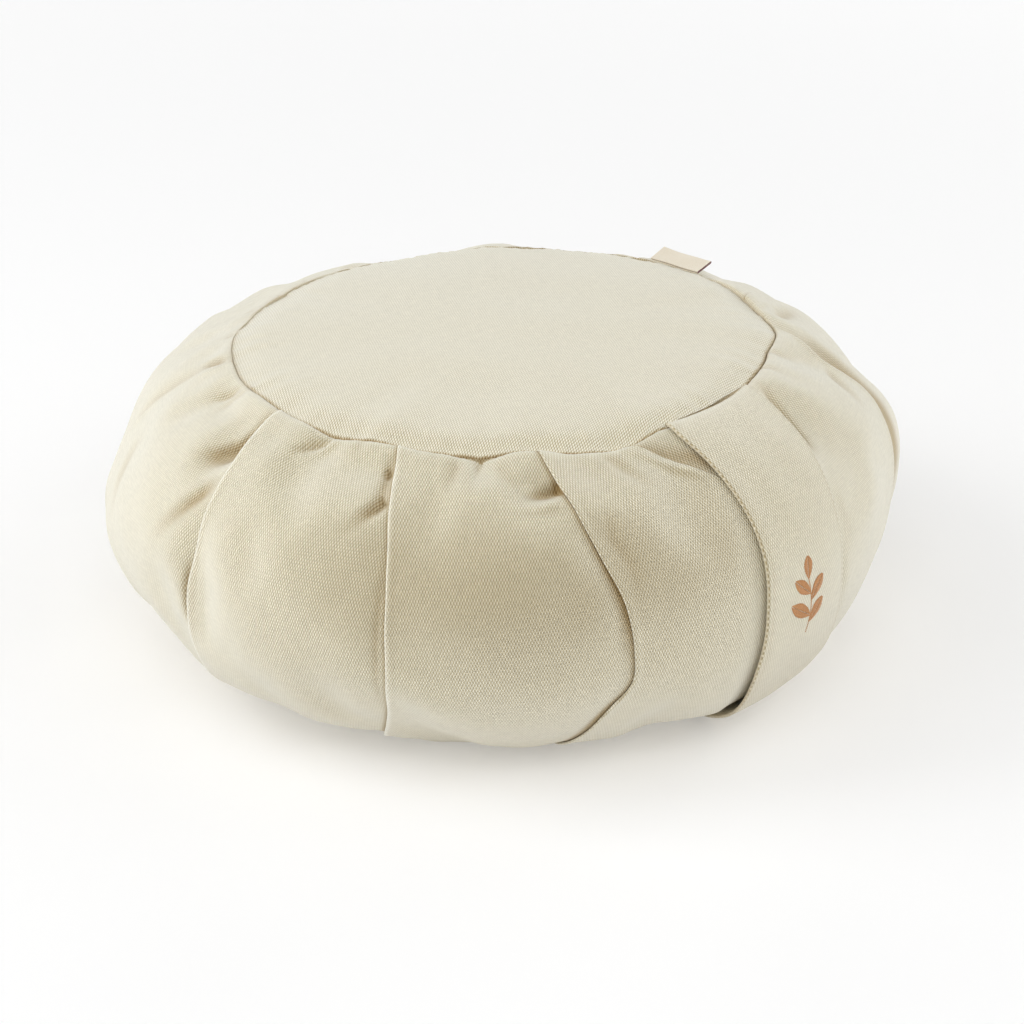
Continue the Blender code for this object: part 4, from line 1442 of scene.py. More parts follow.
    def lay_panel(self, pleat: Pleat, following: Pleat, first: Array, last: Array) -> list[Array]:
        """One panel between two folds.

        Args:
            pleat: The fold on its left.
            following: The fold on its right.
            first: Azimuths of its left edge, one for each ring.
            last: Azimuths of its right edge.

        Returns:
            Azimuths, stand-outs and marks of painted shade beside the folds and painted highlight on the
            lips, with a row for each ring.
        """
        fall = self.falls()
        count = self.panel_count(pleat, following)
        share = clustered(np.arange(1, count) / count, self.column_cluster)[None, :]
        panel = first[:, None] + share * (last - first)[:, None]
        circle = FORM.radius_at(fall)[:, None]
        from_first = np.radians(panel - first[:, None]) * circle
        to_last = np.radians(last[:, None] - panel) * circle
        bow = np.maximum(np.sin(math.pi * fall), 0.0) ** self.fullness_power
        raised = pleat.full * MM * bow[:, None] * np.sin(math.pi * share) ** self.panel_roundness
        beside, lip_highlight = np.zeros(panel.shape), np.zeros(panel.shape)
        for fold, distance, upper_side in ((pleat, from_first, LEFT), (following, to_last, RIGHT)):
            is_upper = fold.side is upper_side
            raised = raised + self.beside_fold(fold, distance, is_upper, fall)
            # Beside a lip the upper layer gets the painted highlight and the lower layer painted shade.
            if is_upper:
                lip_highlight = lip_highlight + fold.lip_highlight * bell(distance, self.lip_highlight_reach)
            else:
                beside = beside + bell(distance, self.crevice_shade_reach)
        opened = self.strength(fall, self.tuck_ramp)[:, None]
        return [panel, raised, (self.crevice_shade * beside - lip_highlight) * opened]

    def lay_out(self) -> LaidCloth:
        """Lay the folds and the panels between them round the whole wall.

        Returns:
            The laid cloth.
        """
        fall = self.falls()
        folds = [self.fold_columns(pleat, fall) for pleat in PLEATS]
        parts, breaks, centres = [], [], []
        column = 0
        for order, pleat in enumerate(PLEATS):
            *fold, deepest = folds[order]
            upcoming = (order + 1) % len(PLEATS)
            breaks.append(column + deepest)
            first = fold[0][:, -1]
            last = first + turn_between(first, folds[upcoming][0][:, 0]) % 360.0
            centres.append(float(((first + last) / 2.0)[len(fall) // 2]))
            panel = self.lay_panel(pleat, PLEATS[upcoming], first, last)
            parts += [fold, panel]
            column += fold[0].shape[1] + panel[0].shape[1]
        turns, raised, folded = (np.concatenate(tables, axis=1) for tables in zip(*parts))
        owner = np.full(turns.shape[1], len(breaks) - 1)
        for order, start in enumerate(breaks):
            owner[start:] = order
        return LaidCloth(turns, raised, folded, owner, self.cloth_across(turns, fall, owner, centres))

    def cloth_across(
        self, turns: Array, fall: Array, owner: Array, centres: list[float]
    ) -> Pair:
        """Crosswise length of cloth in each strip of faces, which starts anew inside each fold.

        Args:
            turns: Azimuths of the wall's points.
            fall: Falls of the rings.
            owner: The panel that owns each column.
            centres: Azimuth of each panel's middle.

        Returns:
            Lengths in metres at the left and right column of each strip.
        """
        circle = FORM.radius_at(fall)[:, None]
        middles = np.array(centres)[owner][None, :]
        following = np.roll(turns, -1, axis=1)
        shift = owner[None, :] * self.panel_shift
        left = np.radians(turn_between(middles, turns)) * circle + shift
        right = np.radians(turn_between(middles, following)) * circle + shift
        return left, right

    def cover(self, turns: Array, fall: Array) -> Array:
        """How far the strap covers a place: 1 under it, 0 away from it."""
        edges = strap_edges(np.clip(fall, STRAP_ROWS[0].fall, STRAP_ROWS[-1].fall))
        inside = np.minimum(turns - edges["left"][:, None], edges["right"][:, None] - turns)
        return smooth_step(inside / self.cover_ramp + 1.0)

    def build(self, swell: FillingSwell, material: Material) -> Piece:
        """Model the band.

        Args:
            swell: The filling's swelling.
            material: The canvas.

        Returns:
            The finished piece.
        """
        fall = self.falls()
        laid = self.lay_out()
        turns, owner = laid.turns, laid.owner[None, :]
        rows = np.broadcast_to(fall[:, None], turns.shape)
        down = FORM.arc_length(fall)[:, None]
        opened = self.strength(fall, self.tuck_ramp)[:, None]
        bare = 1.0 - self.cover(turns, fall)
        hollows = hollow_depth(turns, rows, owner)
        creases, shaded = crease_relief(turns, rows, owner)
        across = np.radians(turns) * FORM.radius_at(rows)
        broad, fine = (
            uneven(across / length, down / height + 0.0 * turns, pattern)
            for (length, height), pattern in (
                (self.broad_lumps, Pattern.BAND_BROAD), (self.fine_lumps, Pattern.BAND_FINE)
            )
        )
        lumps = (broad + self.fine_share * fine) * self.unevenness * self.strength(fall, 0.1)[:, None]
        puckers = swell.outward(turns, rows) * self.strength(fall, 0.03)[:, None]
        groove = self.seam_depth * np.exp(-down / self.seam_reach) * FORM.seam_tightness(turns)
        pebbles = uneven(across / self.pebble_pitch, 0.0 * turns, Pattern.BAND_PEBBLES, 3)
        pebbles = self.pebble * np.exp(-down / self.pebble_reach) * pebbles
        kept = self.crease_at_seam + (1.0 - self.crease_at_seam) * opened
        stand_out = laid.raised - hollows * opened - creases * kept * bare
        stand_out = stand_out + (lumps + puckers) * bare - groove + pebbles
        rings, marks, cloth = self.close(FORM.side_point(turns, rows, stand_out), laid, shaded)
        mesh = laid_grid(rings, cloth, {"crease": marks})
        LOG.info("side band: %d columns, %d rings, %d faces", turns.shape[1], len(rings), len(mesh.polygons))
        piece = add_piece("band_canvas", mesh, material)
        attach(piece, BODY)
        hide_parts("side_band")
        return piece

    def close(
        self, wall: Array, laid: LaidCloth, shaded: Array
    ) -> tuple[Array, Array, Pair]:
        """Roll the wall over into the seams and close it under the two panels.

        Args:
            wall: Points of the wall.
            laid: The cloth laid on it.
            shaded: Painted golden shade of the creases at its points.

        Returns:
            All the rings, the painted shade and highlight marks, and cloth coordinates at the left and right
            of each strip.
        """
        above, below = self.rings_above(wall[0]), self.rings_below(wall[-1])
        ends = len(above), len(below)
        fall = self.falls()
        down = FORM.arc_length(fall)
        # Painted golden shade in the troughs of the creases.
        marked = np.clip(shaded / self.full_shade, 0.0, self.most_shade)
        # Painted shade along the top seam's groove.
        seam_shade_mark = bell(down[:, None], self.seam_shade_reach) * FORM.seam_shade(laid.turns)
        # Painted warm shade towards the bottom of the band.
        low_shade = self.low_shade * smooth_step((fall[:, None] - self.low_shade_from) / self.low_shade_ramp)
        # folded adds painted shade in and beside the folds and the painted highlight on the lips.
        marks = np.clip(laid.folded + marked + seam_shade_mark + low_shade, -1.0, 1.0)
        under = np.linspace(*self.recess_cloth, len(self.recess_shares))
        rolled = np.linspace(*self.rolled_cloth, self.roll_rows)
        down = np.concatenate([under, rolled, down, down[-1] + np.array(self.underside_cloth)])
        left, right = (held_on(lengths, *ends) for lengths in laid.cloth)
        lengths = np.broadcast_to(down[:, None], left.shape)
        cloth = np.stack([left, lengths], -1), np.stack([right, lengths], -1)
        return np.concatenate([above, wall, below]), held_on(marks, *ends), cloth

    def rings_above(self, rim: Array) -> Array:
        """Rings from the centre outwards under the top panel, and up the rolled-in edge of the wall.

        Args:
            rim: The wall's top ring.

        Returns:
            The rings.
        """
        radius = np.hypot(rim[:, 0], rim[:, 1])
        heading = azimuth_of(rim)
        centre = FORM.plain_top(np.array(0.0), np.array(0.0)) - self.recess_floor
        rings = []
        for share in self.recess_shares:
            level = FORM.plain_top(heading, np.full(heading.shape, share)) - self.recess_floor
            if share == 0.0:
                level = np.full(heading.shape, centre)
            rings.append(polar(heading, share * radius, level))
        for step in range(self.roll_rows, 0, -1):
            share = step / self.roll_rows
            inward = self.recess_lean * smooth_step(share * 1.5)
            sunk = self.recess * self.rolled_share * share ** 1.6
            rings.append(polar(heading, radius - inward, rim[:, 2] - sunk))
        return np.stack(rings)

    def rings_below(self, foot: Array) -> Array:
        """Rings that close the band over the base panel.

        Args:
            foot: The wall's lowest ring.

        Returns:
            The rings, from the outside in.
        """
        heading = azimuth_of(foot)
        level = np.full(heading.shape, self.recess)
        reach = FORM.seam_radius - self.recess_lean
        return np.stack([polar(heading, share * reach, level) for share in self.underside_shares])


@dataclass
class TopPanel:
    """The crowned round top, its rim turned down into the seam."""

    thickness: float = 2 * MM
    inset: float = 0.35 * MM
    slack_inset: float = 0.1 * MM
    columns: int = 540
    rings: int = 58
    under_rings: int = 5
    dimple_depth: float = 0.8 * MM
    dimple_half_width: float = 5.0
    dimple_inner: float = 0.72
    unevenness: float = 0.35 * MM
    rim_round: float = 1.5 * MM
    pebble: float = 0.34 * MM
    pebble_pitch: float = 2.9 * MM
    pebble_reach: float = 2.0 * MM
    rim_cluster: float = 1.9
    lump_length: float = 0.07
    pull_width: float = 7.0
    pull_length: float = 0.3
    pull_reach: float = 16 * MM
    pull_height: float = 0.28 * MM
    rim_rolled: float = 0.98
    # Painted shade along the rim of the top panel at the seam.
    seam_shade_mark: float = 0.85
    seam_shade_reach: float = 1.0 * MM
    under_inset: float = 0.1 * MM
    under_share: float = 0.6
    rim_thickness: float = 0.8 * MM

    def shares(self) -> Array:
        """Shares of the way from the centre to the rim, closer together towards the rim."""
        even = np.linspace(0.0, 1.0, self.rings)
        return 1.0 - (1.0 - even) ** self.rim_cluster

    def build(self, material: Material) -> Piece:
        """Model the panel.

        Args:
            material: The canvas.

        Returns:
            The finished piece.
        """
        azimuth = all_round(self.columns)[None, :]
        share = self.shares()[:, None]
        radius, _ = FORM.seam_top(azimuth)
        tight = FORM.seam_tightness(azimuth)
        radius = radius - self.slack_inset - tight * (self.inset - self.slack_inset)
        reach = share * radius
        from_rim = radius - reach
        pulled = np.zeros(azimuth.shape)
        for pleat in PLEATS:
            pulled = np.maximum(pulled, bell(turn_between(pleat.edge[0], azimuth), self.dimple_half_width))
        deep = smooth_step((share - self.dimple_inner) / (1.0 - self.dimple_inner))
        height = FORM.plain_top(azimuth, share) - pulled * self.dimple_depth * deep
        x = reach * np.sin(np.radians(azimuth))
        y = -reach * np.cos(np.radians(azimuth))
        lumps = uneven(x / self.lump_length, y / self.lump_length, Pattern.PANEL_BROAD)
        height = height + self.unevenness * lumps * (1.0 - share ** 6)
        pulls = uneven(azimuth / self.pull_width, from_rim / self.pull_length, Pattern.PANEL_PULLS, 5)
        height = height + self.pull_height * (pulls * bell(from_rim, self.pull_reach))
        rolled = self.rim_rolled * np.clip(1.0 - from_rim / self.rim_round, 0.0, 1.0)
        height = height - tight * self.rim_round * (1.0 - np.sqrt(1.0 - rolled ** 2))
        arc = np.radians(azimuth) * radius
        pebbles = uneven(arc / self.pebble_pitch, 0.0 * arc, Pattern.PANEL_PEBBLES, 3)
        height = height + self.pebble * pebbles * np.exp(-from_rim / self.pebble_reach)
        upper = np.stack([x, y, height], axis=-1)
        low_share = np.linspace(1.0, 0.0, self.under_rings)[:, None]
        low = polar(
            azimuth + 0.0 * low_share,
            low_share * (radius - self.under_inset),
            FORM.plain_top(azimuth, low_share) - self.dimple_depth * self.under_share - self.thickness,
        )
        low[0, :, 2] = np.minimum(low[0, :, 2], upper[-1, :, 2] - self.rim_thickness)
        low[-1, :, 2] = low[-1, :, 2].mean()
        upper[0, :, 2] = upper[0, :, 2].mean()
        rings = np.concatenate([upper, low])
        # Painted shade along the rim at the top seam.
        seam_shade_mark = self.seam_shade_mark * FORM.seam_shade(azimuth) * bell(from_rim, self.seam_shade_reach)
        marks = np.concatenate([seam_shade_mark, np.zeros(low.shape[:2])])
        mesh = laid_grid(rings, flat_cloth(rings), {"crease": marks})
        piece = add_piece("top_canvas", mesh, material)
        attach(piece, BODY)
        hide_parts("top_panel")
        LOG.info("top panel: %d faces", len(mesh.polygons))
        return piece


@dataclass
class BasePanel:
    """The flat round base that the cushion rests on."""

    thickness: float = 2 * MM
    inset: float = 0.35 * MM
    rim_round: float = 0.5 * MM
    columns: int = 180

    def build(self, material: Material) -> Piece:
        """Model the panel with a softly rounded rim.

        Args:
            material: The canvas.

        Returns:
            The finished piece.
        """
        azimuth = all_round(self.columns)
        rim = FORM.seam_radius - self.inset
        outline = [(0.0, self.thickness), (0.5 * rim, self.thickness), (rim - self.rim_round, self.thickness)]
        for step in range(1, 4):
            turn = math.pi / 2.0 * step / 4.0
            inward, down = 1.0 - math.sin(turn), 1.0 - math.cos(turn)
            outline.append((rim - self.rim_round * inward, self.thickness - self.rim_round * down))
        outline += [(rim, self.thickness / 2.0), (rim - 0.1 * MM, 0.25 * MM), (rim - 0.4 * MM, 0.0)]
        outline += [(0.5 * rim, 0.0), (0.0, 0.0)]
        rings = np.stack([
            polar(azimuth, radius, np.full(azimuth.shape, height)) for radius, height in outline
        ])
        mesh = laid_grid(rings, flat_cloth(rings), {"crease": np.zeros(rings.shape[:2])})
        piece = add_piece("base_canvas", mesh, material)
        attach(piece, BODY)
        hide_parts("base_panel")
        LOG.info("base panel: %d faces", len(mesh.polygons))
        return piece


@dataclass(frozen=True)
class Leaf:
    """A leaf of the sprig: where it springs from the stem and its length, in millimetres, with its heading.

    The heading is its midrib's turn in degrees from pointing right, negative upwards. plump is half its width
    as a share of its length.
    """

    up: float
    heading: float
    length: float
    plump: float


@dataclass
class CarryStrap:
    """The wide carrying strap: folded canvas, edge-stitched down both long sides, with a stitched sprig."""

    thickness: float = 2 * MM
    rows: int = 210
    width: float = 50 * MM
    left_stitch: float = 2.5 * MM
    right_stitch: float = 1.7 * MM
    groove: float = 0.08 * MM
    groove_reach: float = 0.5 * MM
    stitch_pitch: float = 3.1 * MM
    stitch_length: float = 2.7 * MM
    stitch_radius: float = 0.11 * MM
    stitch_sunk: float = -0.5
    unevenness: float = 0.25 * MM
    sink_reach: float = 6.0 * MM
    sunk_thickness: float = 0.4
    lump_lengths: tuple[float, float] = (0.03, 0.045)
    edge_round: float = 0.7 * MM
    under_round: float = 0.8 * MM
    under_share: float = 0.35
    # Painted shade on the strap's rolled edges and along its stitch lines.
    edge_shade: float = 0.28
    stitch_shade: float = 0.1
    stitch_shade_reach: float = 0.45 * MM
    # Painted warm shade, growing towards the strap's lower end.
    low_shade: float = 0.2
    low_shade_from: float = 0.45
    low_shade_ramp: float = 0.25
    # Painted shade where the strap goes into the top seam.
    seam_shade_mark: float = 0.85
    seam_shade_reach: float = 1.2 * MM
    stitch_start: float = 2.0 * MM
    stitch_wander: float = 0.05 * MM
    sprig_centre: tuple[float, float] = (0.50, 0.508)
    stem_length: float = 25.0 * MM
    stem_threads: int = 34
    stem_bow: float = 1.6 * MM
    stem_shift: float = 0.8 * MM
    leaf_pitch: float = 0.36 * MM
    thread_slant: float = 62.0
    leaves: tuple[Leaf, ...] = (
        Leaf(-8.0, -44.0, 12.0, 0.24),
        Leaf(-5.0, 216.0, 15.0, 0.19),
        Leaf(2.0, -48.0, 12.0, 0.24),
        Leaf(5.0, 222.0, 13.5, 0.19),
        Leaf(12.0, -88.0, 10.0, 0.26),
    )

    def stitch_lines(self) -> tuple[float, float]:
        """How far the two rows of edge stitches lie from the left edge."""
        return self.left_stitch, self.width - self.right_stitch

    def across_places(self) -> Array:
        """Distances from the left edge of the points across the strap's outer face, in metres."""
        near_left = np.array([0.0, 0.12, 0.35, 0.7, 1.1, 1.5, 1.8, 2.1, 2.4, 2.8, 3.3, 4.0, 5.0]) * MM
        near_right = np.array([5.0, 4.0, 3.2, 2.6, 2.1, 1.7, 1.4, 1.1, 0.7, 0.35, 0.12, 0.0]) * MM
        middle = np.linspace(5.0 * MM, self.width - 5.0 * MM, 30)[1:-1]
        return np.concatenate([near_left, middle, self.width - near_right])

    def place(self, across: Array, fall: Array, raised: Array) -> Array:
        """Points on or over the strap.

        Args:
            across: Metres from the left edge, on a strap of the named width.
            fall: Share of the way down the side.
            raised: Metres above the strap's underside.

        Returns:
            The points, with x, y and z along the last axis.
        """
        edges = strap_edges(fall)
        share = across / self.width
        azimuth = edges["left"] + share * (edges["right"] - edges["left"])
        off = edges["left_off"] + share * (edges["right_off"] - edges["left_off"])
        return FORM.side_point(azimuth, fall, off + raised)

    def full(self, down: Array) -> Array:
        """Share of the strap's thickness that is left where it sinks into the two seams.

        Args:
            down: Metres of strap from the top seam.

        Returns:
            1 along the strap and less at its two ends.
        """
        first, last = FORM.down_to(STRAP_ROWS[0].fall), FORM.down_to(STRAP_ROWS[-1].fall)
        eased = rounded(np.minimum(down - first, last - down) / self.sink_reach)
        return self.sunk_thickness + (1.0 - self.sunk_thickness) * eased

    def relief(self, across: Array, down: Array) -> Array:
        """Height of the outer face over the strap's plain thickness: stitch grooves, puckers and lumps.

        Args:
            across: Metres from the left edge.
            down: Metres of strap from the top seam.

        Returns:
            Heights in metres.
        """
        wide, long = self.lump_lengths
        total = self.unevenness * uneven(across / wide, down / long, Pattern.STRAP_LUMPS)
        for line in self.stitch_lines():
            tight = 0.75 + 0.25 * np.cos(2.0 * math.pi * down / self.stitch_pitch)
            total = total - self.groove * bell(across - line, self.groove_reach) * tight
        return total

    def build(self, material: Material, thread: Material, silk: Material) -> Piece:
        """Model the strap, its stitches and its sprig.

        Args:
            material: The strap's canvas.
            thread: The edge stitches' thread.
            silk: The sprig's thread.

        Returns:
            The strap.
        """
        first, last = STRAP_ROWS[0].fall, STRAP_ROWS[-1].fall
        fall = np.linspace(first, last, self.rows)[:, None]
        down = FORM.arc_length(fall)
        over = self.across_places()[None, :]
        rounding = rounded(np.minimum(over, self.width - over) / self.edge_round)
        height = self.thickness * (0.5 + 0.5 * rounding) + self.relief(over, down) * rounding
        upper = self.place(*crossed(over, fall), height * self.full(down))
        back = np.linspace(0.0, self.width, 12)[None, :]
        from_edge = np.minimum(back, self.width - back)
        height = self.under_share * self.thickness * (1.0 - smooth_step(from_edge / self.under_round))
        under = self.place(*crossed(back, fall), height + 0.0 * fall)
        section = np.concatenate([upper, under[:, ::-1]], axis=1)
        caps = [np.repeat(section[end].mean(axis=0)[None, :], section.shape[1], 0) for end in (0, -1)]
        rings = np.concatenate([caps[0][None], section, caps[1][None]])
        lengths = np.concatenate([over[0], back[0, ::-1]])
        across = np.broadcast_to(lengths[None, :], rings.shape[:2])
        following = np.broadcast_to(np.roll(lengths, -1)[None, :], rings.shape[:2])
        along = np.broadcast_to(held_on(down, 1, 1), rings.shape[:2])
        # Painted shade along the stitch lines and on the rolled edges.
        marks = np.zeros(rings.shape[:2])
        for line in self.stitch_lines():
            marks = marks + self.stitch_shade * bell(across - line, self.stitch_shade_reach)
        marks = marks + self.edge_shade * bell(np.minimum(across, self.width - across), self.edge_round)
        # Painted warm shade towards the strap's lower end.
        from_low = (held_on(fall, 1, 1) - self.low_shade_from) / self.low_shade_ramp
        marks = marks + self.low_shade * smooth_step(from_low)
        # Painted shade where the strap goes into the top seam.
        marks = marks + self.seam_shade_mark * bell(along - down[0, 0], self.seam_shade_reach)
        cloth = (np.stack([across, along], -1), np.stack([following, along], -1))
        mesh = laid_grid(rings, cloth, {"crease": np.clip(marks, 0.0, 1.0)})
        strap = add_piece("strap_canvas_band", mesh, material)
        stitches = self.build_stitches(thread)
        sprig = self.build_sprig(silk)
        for piece in (strap, stitches, sprig):
            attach(piece, BODY)
        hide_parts("carry_strap")
        return strap

    def frame_at(self, across: float, fall: float) -> Matrix:
        """A frame lying on the strap's outer face.

        Args:
            across: Metres from the left edge.
            fall: Share of the way down the side.

        Returns:
            A matrix with X across the strap, Y up it and Z outwards.
        """
        step = 0.5 * MM
        fall_step = 0.002
        down = FORM.down_to(fall)
        height = self.thickness + float(self.relief(np.array(across), np.array(down)))
        spots = self.place(
            np.array([across, across + step, across]),
            np.array([fall, fall, fall + fall_step]),
            np.full(3, height * float(self.full(down))),
        )
        origin, beside, below = (Vector(spot) for spot in spots)
        side = (beside - origin).normalized()
        outward = (below - origin).cross(side).normalized()
        turned = Matrix((side, outward.cross(side), outward)).transposed().to_4x4()
        return Matrix.Translation(origin) @ turned

    def fall_at(self, down: float) -> float:
        """Fall at this length of cloth from the top seam."""
        falls = np.linspace(0.0, 1.0, FORM.arc_steps)
        return float(np.interp(down, FORM.arc_length(falls), falls))

    def add_thread(
        self,
        skin: Skin,
        across: float,
        down: float,
        heading: float,
        length: float,
        radius: float,
        proud: float = 0.25,
    ) -> None:
        """Lay one short thread on the strap, sunk to about its middle.

        Args:
            skin: Where it is added.
            across: Metres from the left edge to its middle.
            down: Metres of strap from the top seam to its middle.
            heading: Degrees it is turned from pointing across the strap towards pointing down it.
            length: Its length.
            radius: Its radius.
            proud: How far its middle stands over the cloth, in radii.
        """
        placed = self.frame_at(across, self.fall_at(down))
        turned = Matrix.Rotation(-math.radians(heading), 4, "Z")
        scaled = Matrix.Diagonal((length / 2.0, radius, radius, 1.0))
        lifted = Matrix.Translation((0.0, 0.0, proud * radius))
        bmesh.ops.create_uvsphere(
            skin, u_segments=8, v_segments=5, radius=1.0,
            matrix=placed @ lifted @ turned @ scaled @ Matrix.Rotation(math.pi / 2.0, 4, "Y"),
        )

    def build_stitches(self, thread: Material) -> Piece:
        """The two rows of edge stitches.

        Args:
            thread: Their material.

        Returns:
            The stitches as one piece.
        """
        skin = bmesh.new()
        start = FORM.down_to(STRAP_ROWS[0].fall) + self.stitch_start
        end = FORM.down_to(STRAP_ROWS[-1].fall) - self.stitch_start
        draw = np.random.default_rng(Pattern.STITCHES.value)
        for line in self.stitch_lines():
            for down in np.arange(start, end, self.stitch_pitch):
                off = draw.normal(0.0, self.stitch_wander)
                self.add_thread(
                    skin, line + off, float(down), 90.0 + draw.normal(0.0, 2.0), self.stitch_length,
                    self.stitch_radius, self.stitch_sunk,
                )
        return self.finish_threads("strap_stitches", skin, thread)

    def build_sprig(self, silk: Material) -> Piece:
        """A plain sprig of five leaves on a stem, in satin stitch.

        Args:
            silk: Its thread.

        Returns:
            The sprig as one piece.
        """
        skin = bmesh.new()
        across, fall = self.sprig_centre
        middle = (across * self.width, FORM.down_to(fall))
        draw = np.random.default_rng(Pattern.SPRIG.value)
        for step in range(self.stem_threads):
            share = step / (self.stem_threads - 1)
            along = (share - 0.5) * self.stem_length
            slant = self.thread_slant + draw.normal(0.0, 3.0)
            self.add_thread(
                skin, middle[0] + self.stem_bend(share), middle[1] - along, slant, 1.35 * MM, 0.2 * MM
            )
        for leaf in self.leaves:
            self.add_leaf(skin, middle, leaf, draw)
        return self.finish_threads("strap_sprig", skin, silk)

    def stem_bend(self, share: float) -> float:
        """How far the stem bends to the right at this share of its length from its foot."""
        return self.stem_bow * math.sin(math.pi * share) - self.stem_shift

    def add_leaf(
        self, skin: Skin, middle: tuple[float, float], leaf: Leaf, draw: np.random.Generator
    ) -> None:
        """One pointed leaf, filled with slanting threads on both sides of its midrib.

        Args:
            skin: Where it is added.
            middle: The sprig's centre, across and down the strap.
            leaf: The leaf.
            draw: Random numbers for the threads' unevenness.
        """
        up, length = leaf.up * MM, leaf.length * MM
        root = (middle[0] + self.stem_bend(up / self.stem_length + 0.5), middle[1] - up)
        turn = math.radians(leaf.heading)
        way = (math.cos(turn), math.sin(turn))
        side_way = (-way[1], way[0])
        for step in range(int(length / self.leaf_pitch)):
            share = (step + 0.5) * self.leaf_pitch / length
            half = leaf.plump * length * math.sin(math.pi * share ** 0.8) ** 0.9
            if half < 0.25 * MM:
                continue
            for side in (-1.0, 1.0):
                reach = share * length + 0.35 * half
                middle_off = side * (half / 2.0 + 0.1 * MM)
                across = root[0] + way[0] * reach + side_way[0] * middle_off
                down = root[1] + way[1] * reach + side_way[1] * middle_off
                slant = leaf.heading + side * self.thread_slant + draw.normal(0.0, 2.5)
                self.add_thread(skin, across, down, slant, half * draw.uniform(1.25, 1.4), 0.24 * MM)

    def finish_threads(self, name: str, skin: Skin, material: Material) -> Piece:
        """Turn laid threads into one smooth piece.

        Args:
            name: The piece's name.
            skin: The threads.
            material: Their material.

        Returns:
            The piece.
        """
        bmesh.ops.recalc_face_normals(skin, faces=skin.faces)
        mesh = mesh_of(skin, name)
        mesh.shade_smooth()
        LOG.info("%s: %d faces", name, len(mesh.polygons))
        return add_piece(name, mesh, material)


@dataclass
class SideLabel:
    """The small folded tab of woven tape, bare, that stands out of the top seam at the rear right."""

    azimuth: float = 137.2
    width: float = 29 * MM
    length: float = 11 * MM
    tape: float = 0.45 * MM
    spread: float = 1.15 * MM
    rise: float = 12.0
    root_out: float = 0.5 * MM
    root_up: float = -0.5 * MM
    curl: float = 0.5 * MM
    waver: float = 0.12 * MM
    sharp_from: float = 50.0
    columns: int = 30
    steps: int = 34

    def build(self, material: Material) -> Piece:
        """Model the tab: a strip laid out and back, then given its thickness.

        Args:
            material: The tape.

        Returns:
            The finished piece.
        """
        skin = bmesh.new()
        bmesh.ops.create_grid(skin, x_segments=self.columns, y_segments=self.steps, size=0.5)
        cloth = skin.loops.layers.uv.new("cloth")
        fold = self.spread / 2.0
        straight = self.length - fold - self.tape / 2.0
        total = 2.0 * straight + math.pi * fold
        for vertex in skin.verts:
            across = vertex.co.x * self.width
            along = (vertex.co.y + 0.5) * total
            for loop in vertex.link_loops:
                loop[cloth].uv = (across, along)
            if along < straight:
                out, height = along, 0.0
            elif along > straight + math.pi * fold:
                out, height = total - along, self.spread
            else:
                turn = (along - straight) / fold
                out, height = straight + fold * math.sin(turn), fold - fold * math.cos(turn)
            lift = self.curl * (vertex.co.x * 2.0) ** 2 * (out / self.length)
            waver = self.waver * math.sin(9.0 * vertex.co.x + 300.0 * out)
            vertex.co = (across, -out, height + lift + waver + self.tape / 2.0)
        bmesh.ops.recalc_face_normals(skin, faces=skin.faces)
        bmesh.ops.solidify(skin, geom=skin.verts[:] + skin.edges[:] + skin.faces[:], thickness=self.tape)
        self._set_in_seam(skin)
        mesh = mesh_of(skin, "tab")
        mesh.shade_smooth()
        mesh.set_sharp_from_angle(angle=math.radians(self.sharp_from))
        self._mark_inside(mesh)
        piece = add_piece("tab_tape", mesh, material)
        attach(piece, BODY)
        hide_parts("side_label")
        LOG.info("tab: %d faces", len(mesh.polygons))
        return piece

    def _set_in_seam(self, skin: Skin) -> None:
        """Lean the tab outwards and set its root in the seam."""
        radius, height = FORM.seam_top(np.array(self.azimuth))
        lean = Matrix.Rotation(math.radians(-self.rise), 3, "X")
        bmesh.ops.rotate(skin, cent=(0, 0, 0), matrix=lean, verts=skin.verts)
        bmesh.ops.translate(
            skin, vec=(0.0, -float(radius) - self.root_out, float(height) + self.root_up), verts=skin.verts
        )
        turned = Matrix.Rotation(math.radians(self.azimuth), 3, "Z")
        bmesh.ops.rotate(skin, cent=(0, 0, 0), matrix=turned, verts=skin.verts)

    def _mark_inside(self, mesh: Mesh) -> None:
        """Mark the faces that look inwards between the two layers, and the cut ends."""
        middle = np.mean([vertex.co for vertex in mesh.vertices], axis=0)
        marks = mesh.attributes.new("inside", "FLOAT", "FACE")
        lean = math.radians(self.rise)
        turn = math.radians(self.azimuth)
        up = np.array([-math.sin(lean) * math.sin(turn), math.sin(lean) * math.cos(turn), math.cos(lean)])
        along = np.array([math.cos(turn), math.sin(turn), 0.0])
        values = []
        for polygon in mesh.polygons:
            above = float((np.array(polygon.center) - middle) @ up)
            facing = float(np.array(polygon.normal) @ up)
            is_inner = above * facing < 0.0 and abs(above) < self.spread / 2.0 + self.tape
            is_cut = abs(float(np.array(polygon.normal) @ along)) > 0.8
            values.append(1.0 if is_cut or (is_inner and abs(facing) > 0.3) else 0.0)
        marks.data.foreach_set("value", values)


# Studio


@dataclass(frozen=True)
class SoftLight:
    """One soft area light, hung at an azimuth and an elevation in degrees and aimed at the cushion."""

    name: str
    azimuth: float
    elevation: float
    power: float


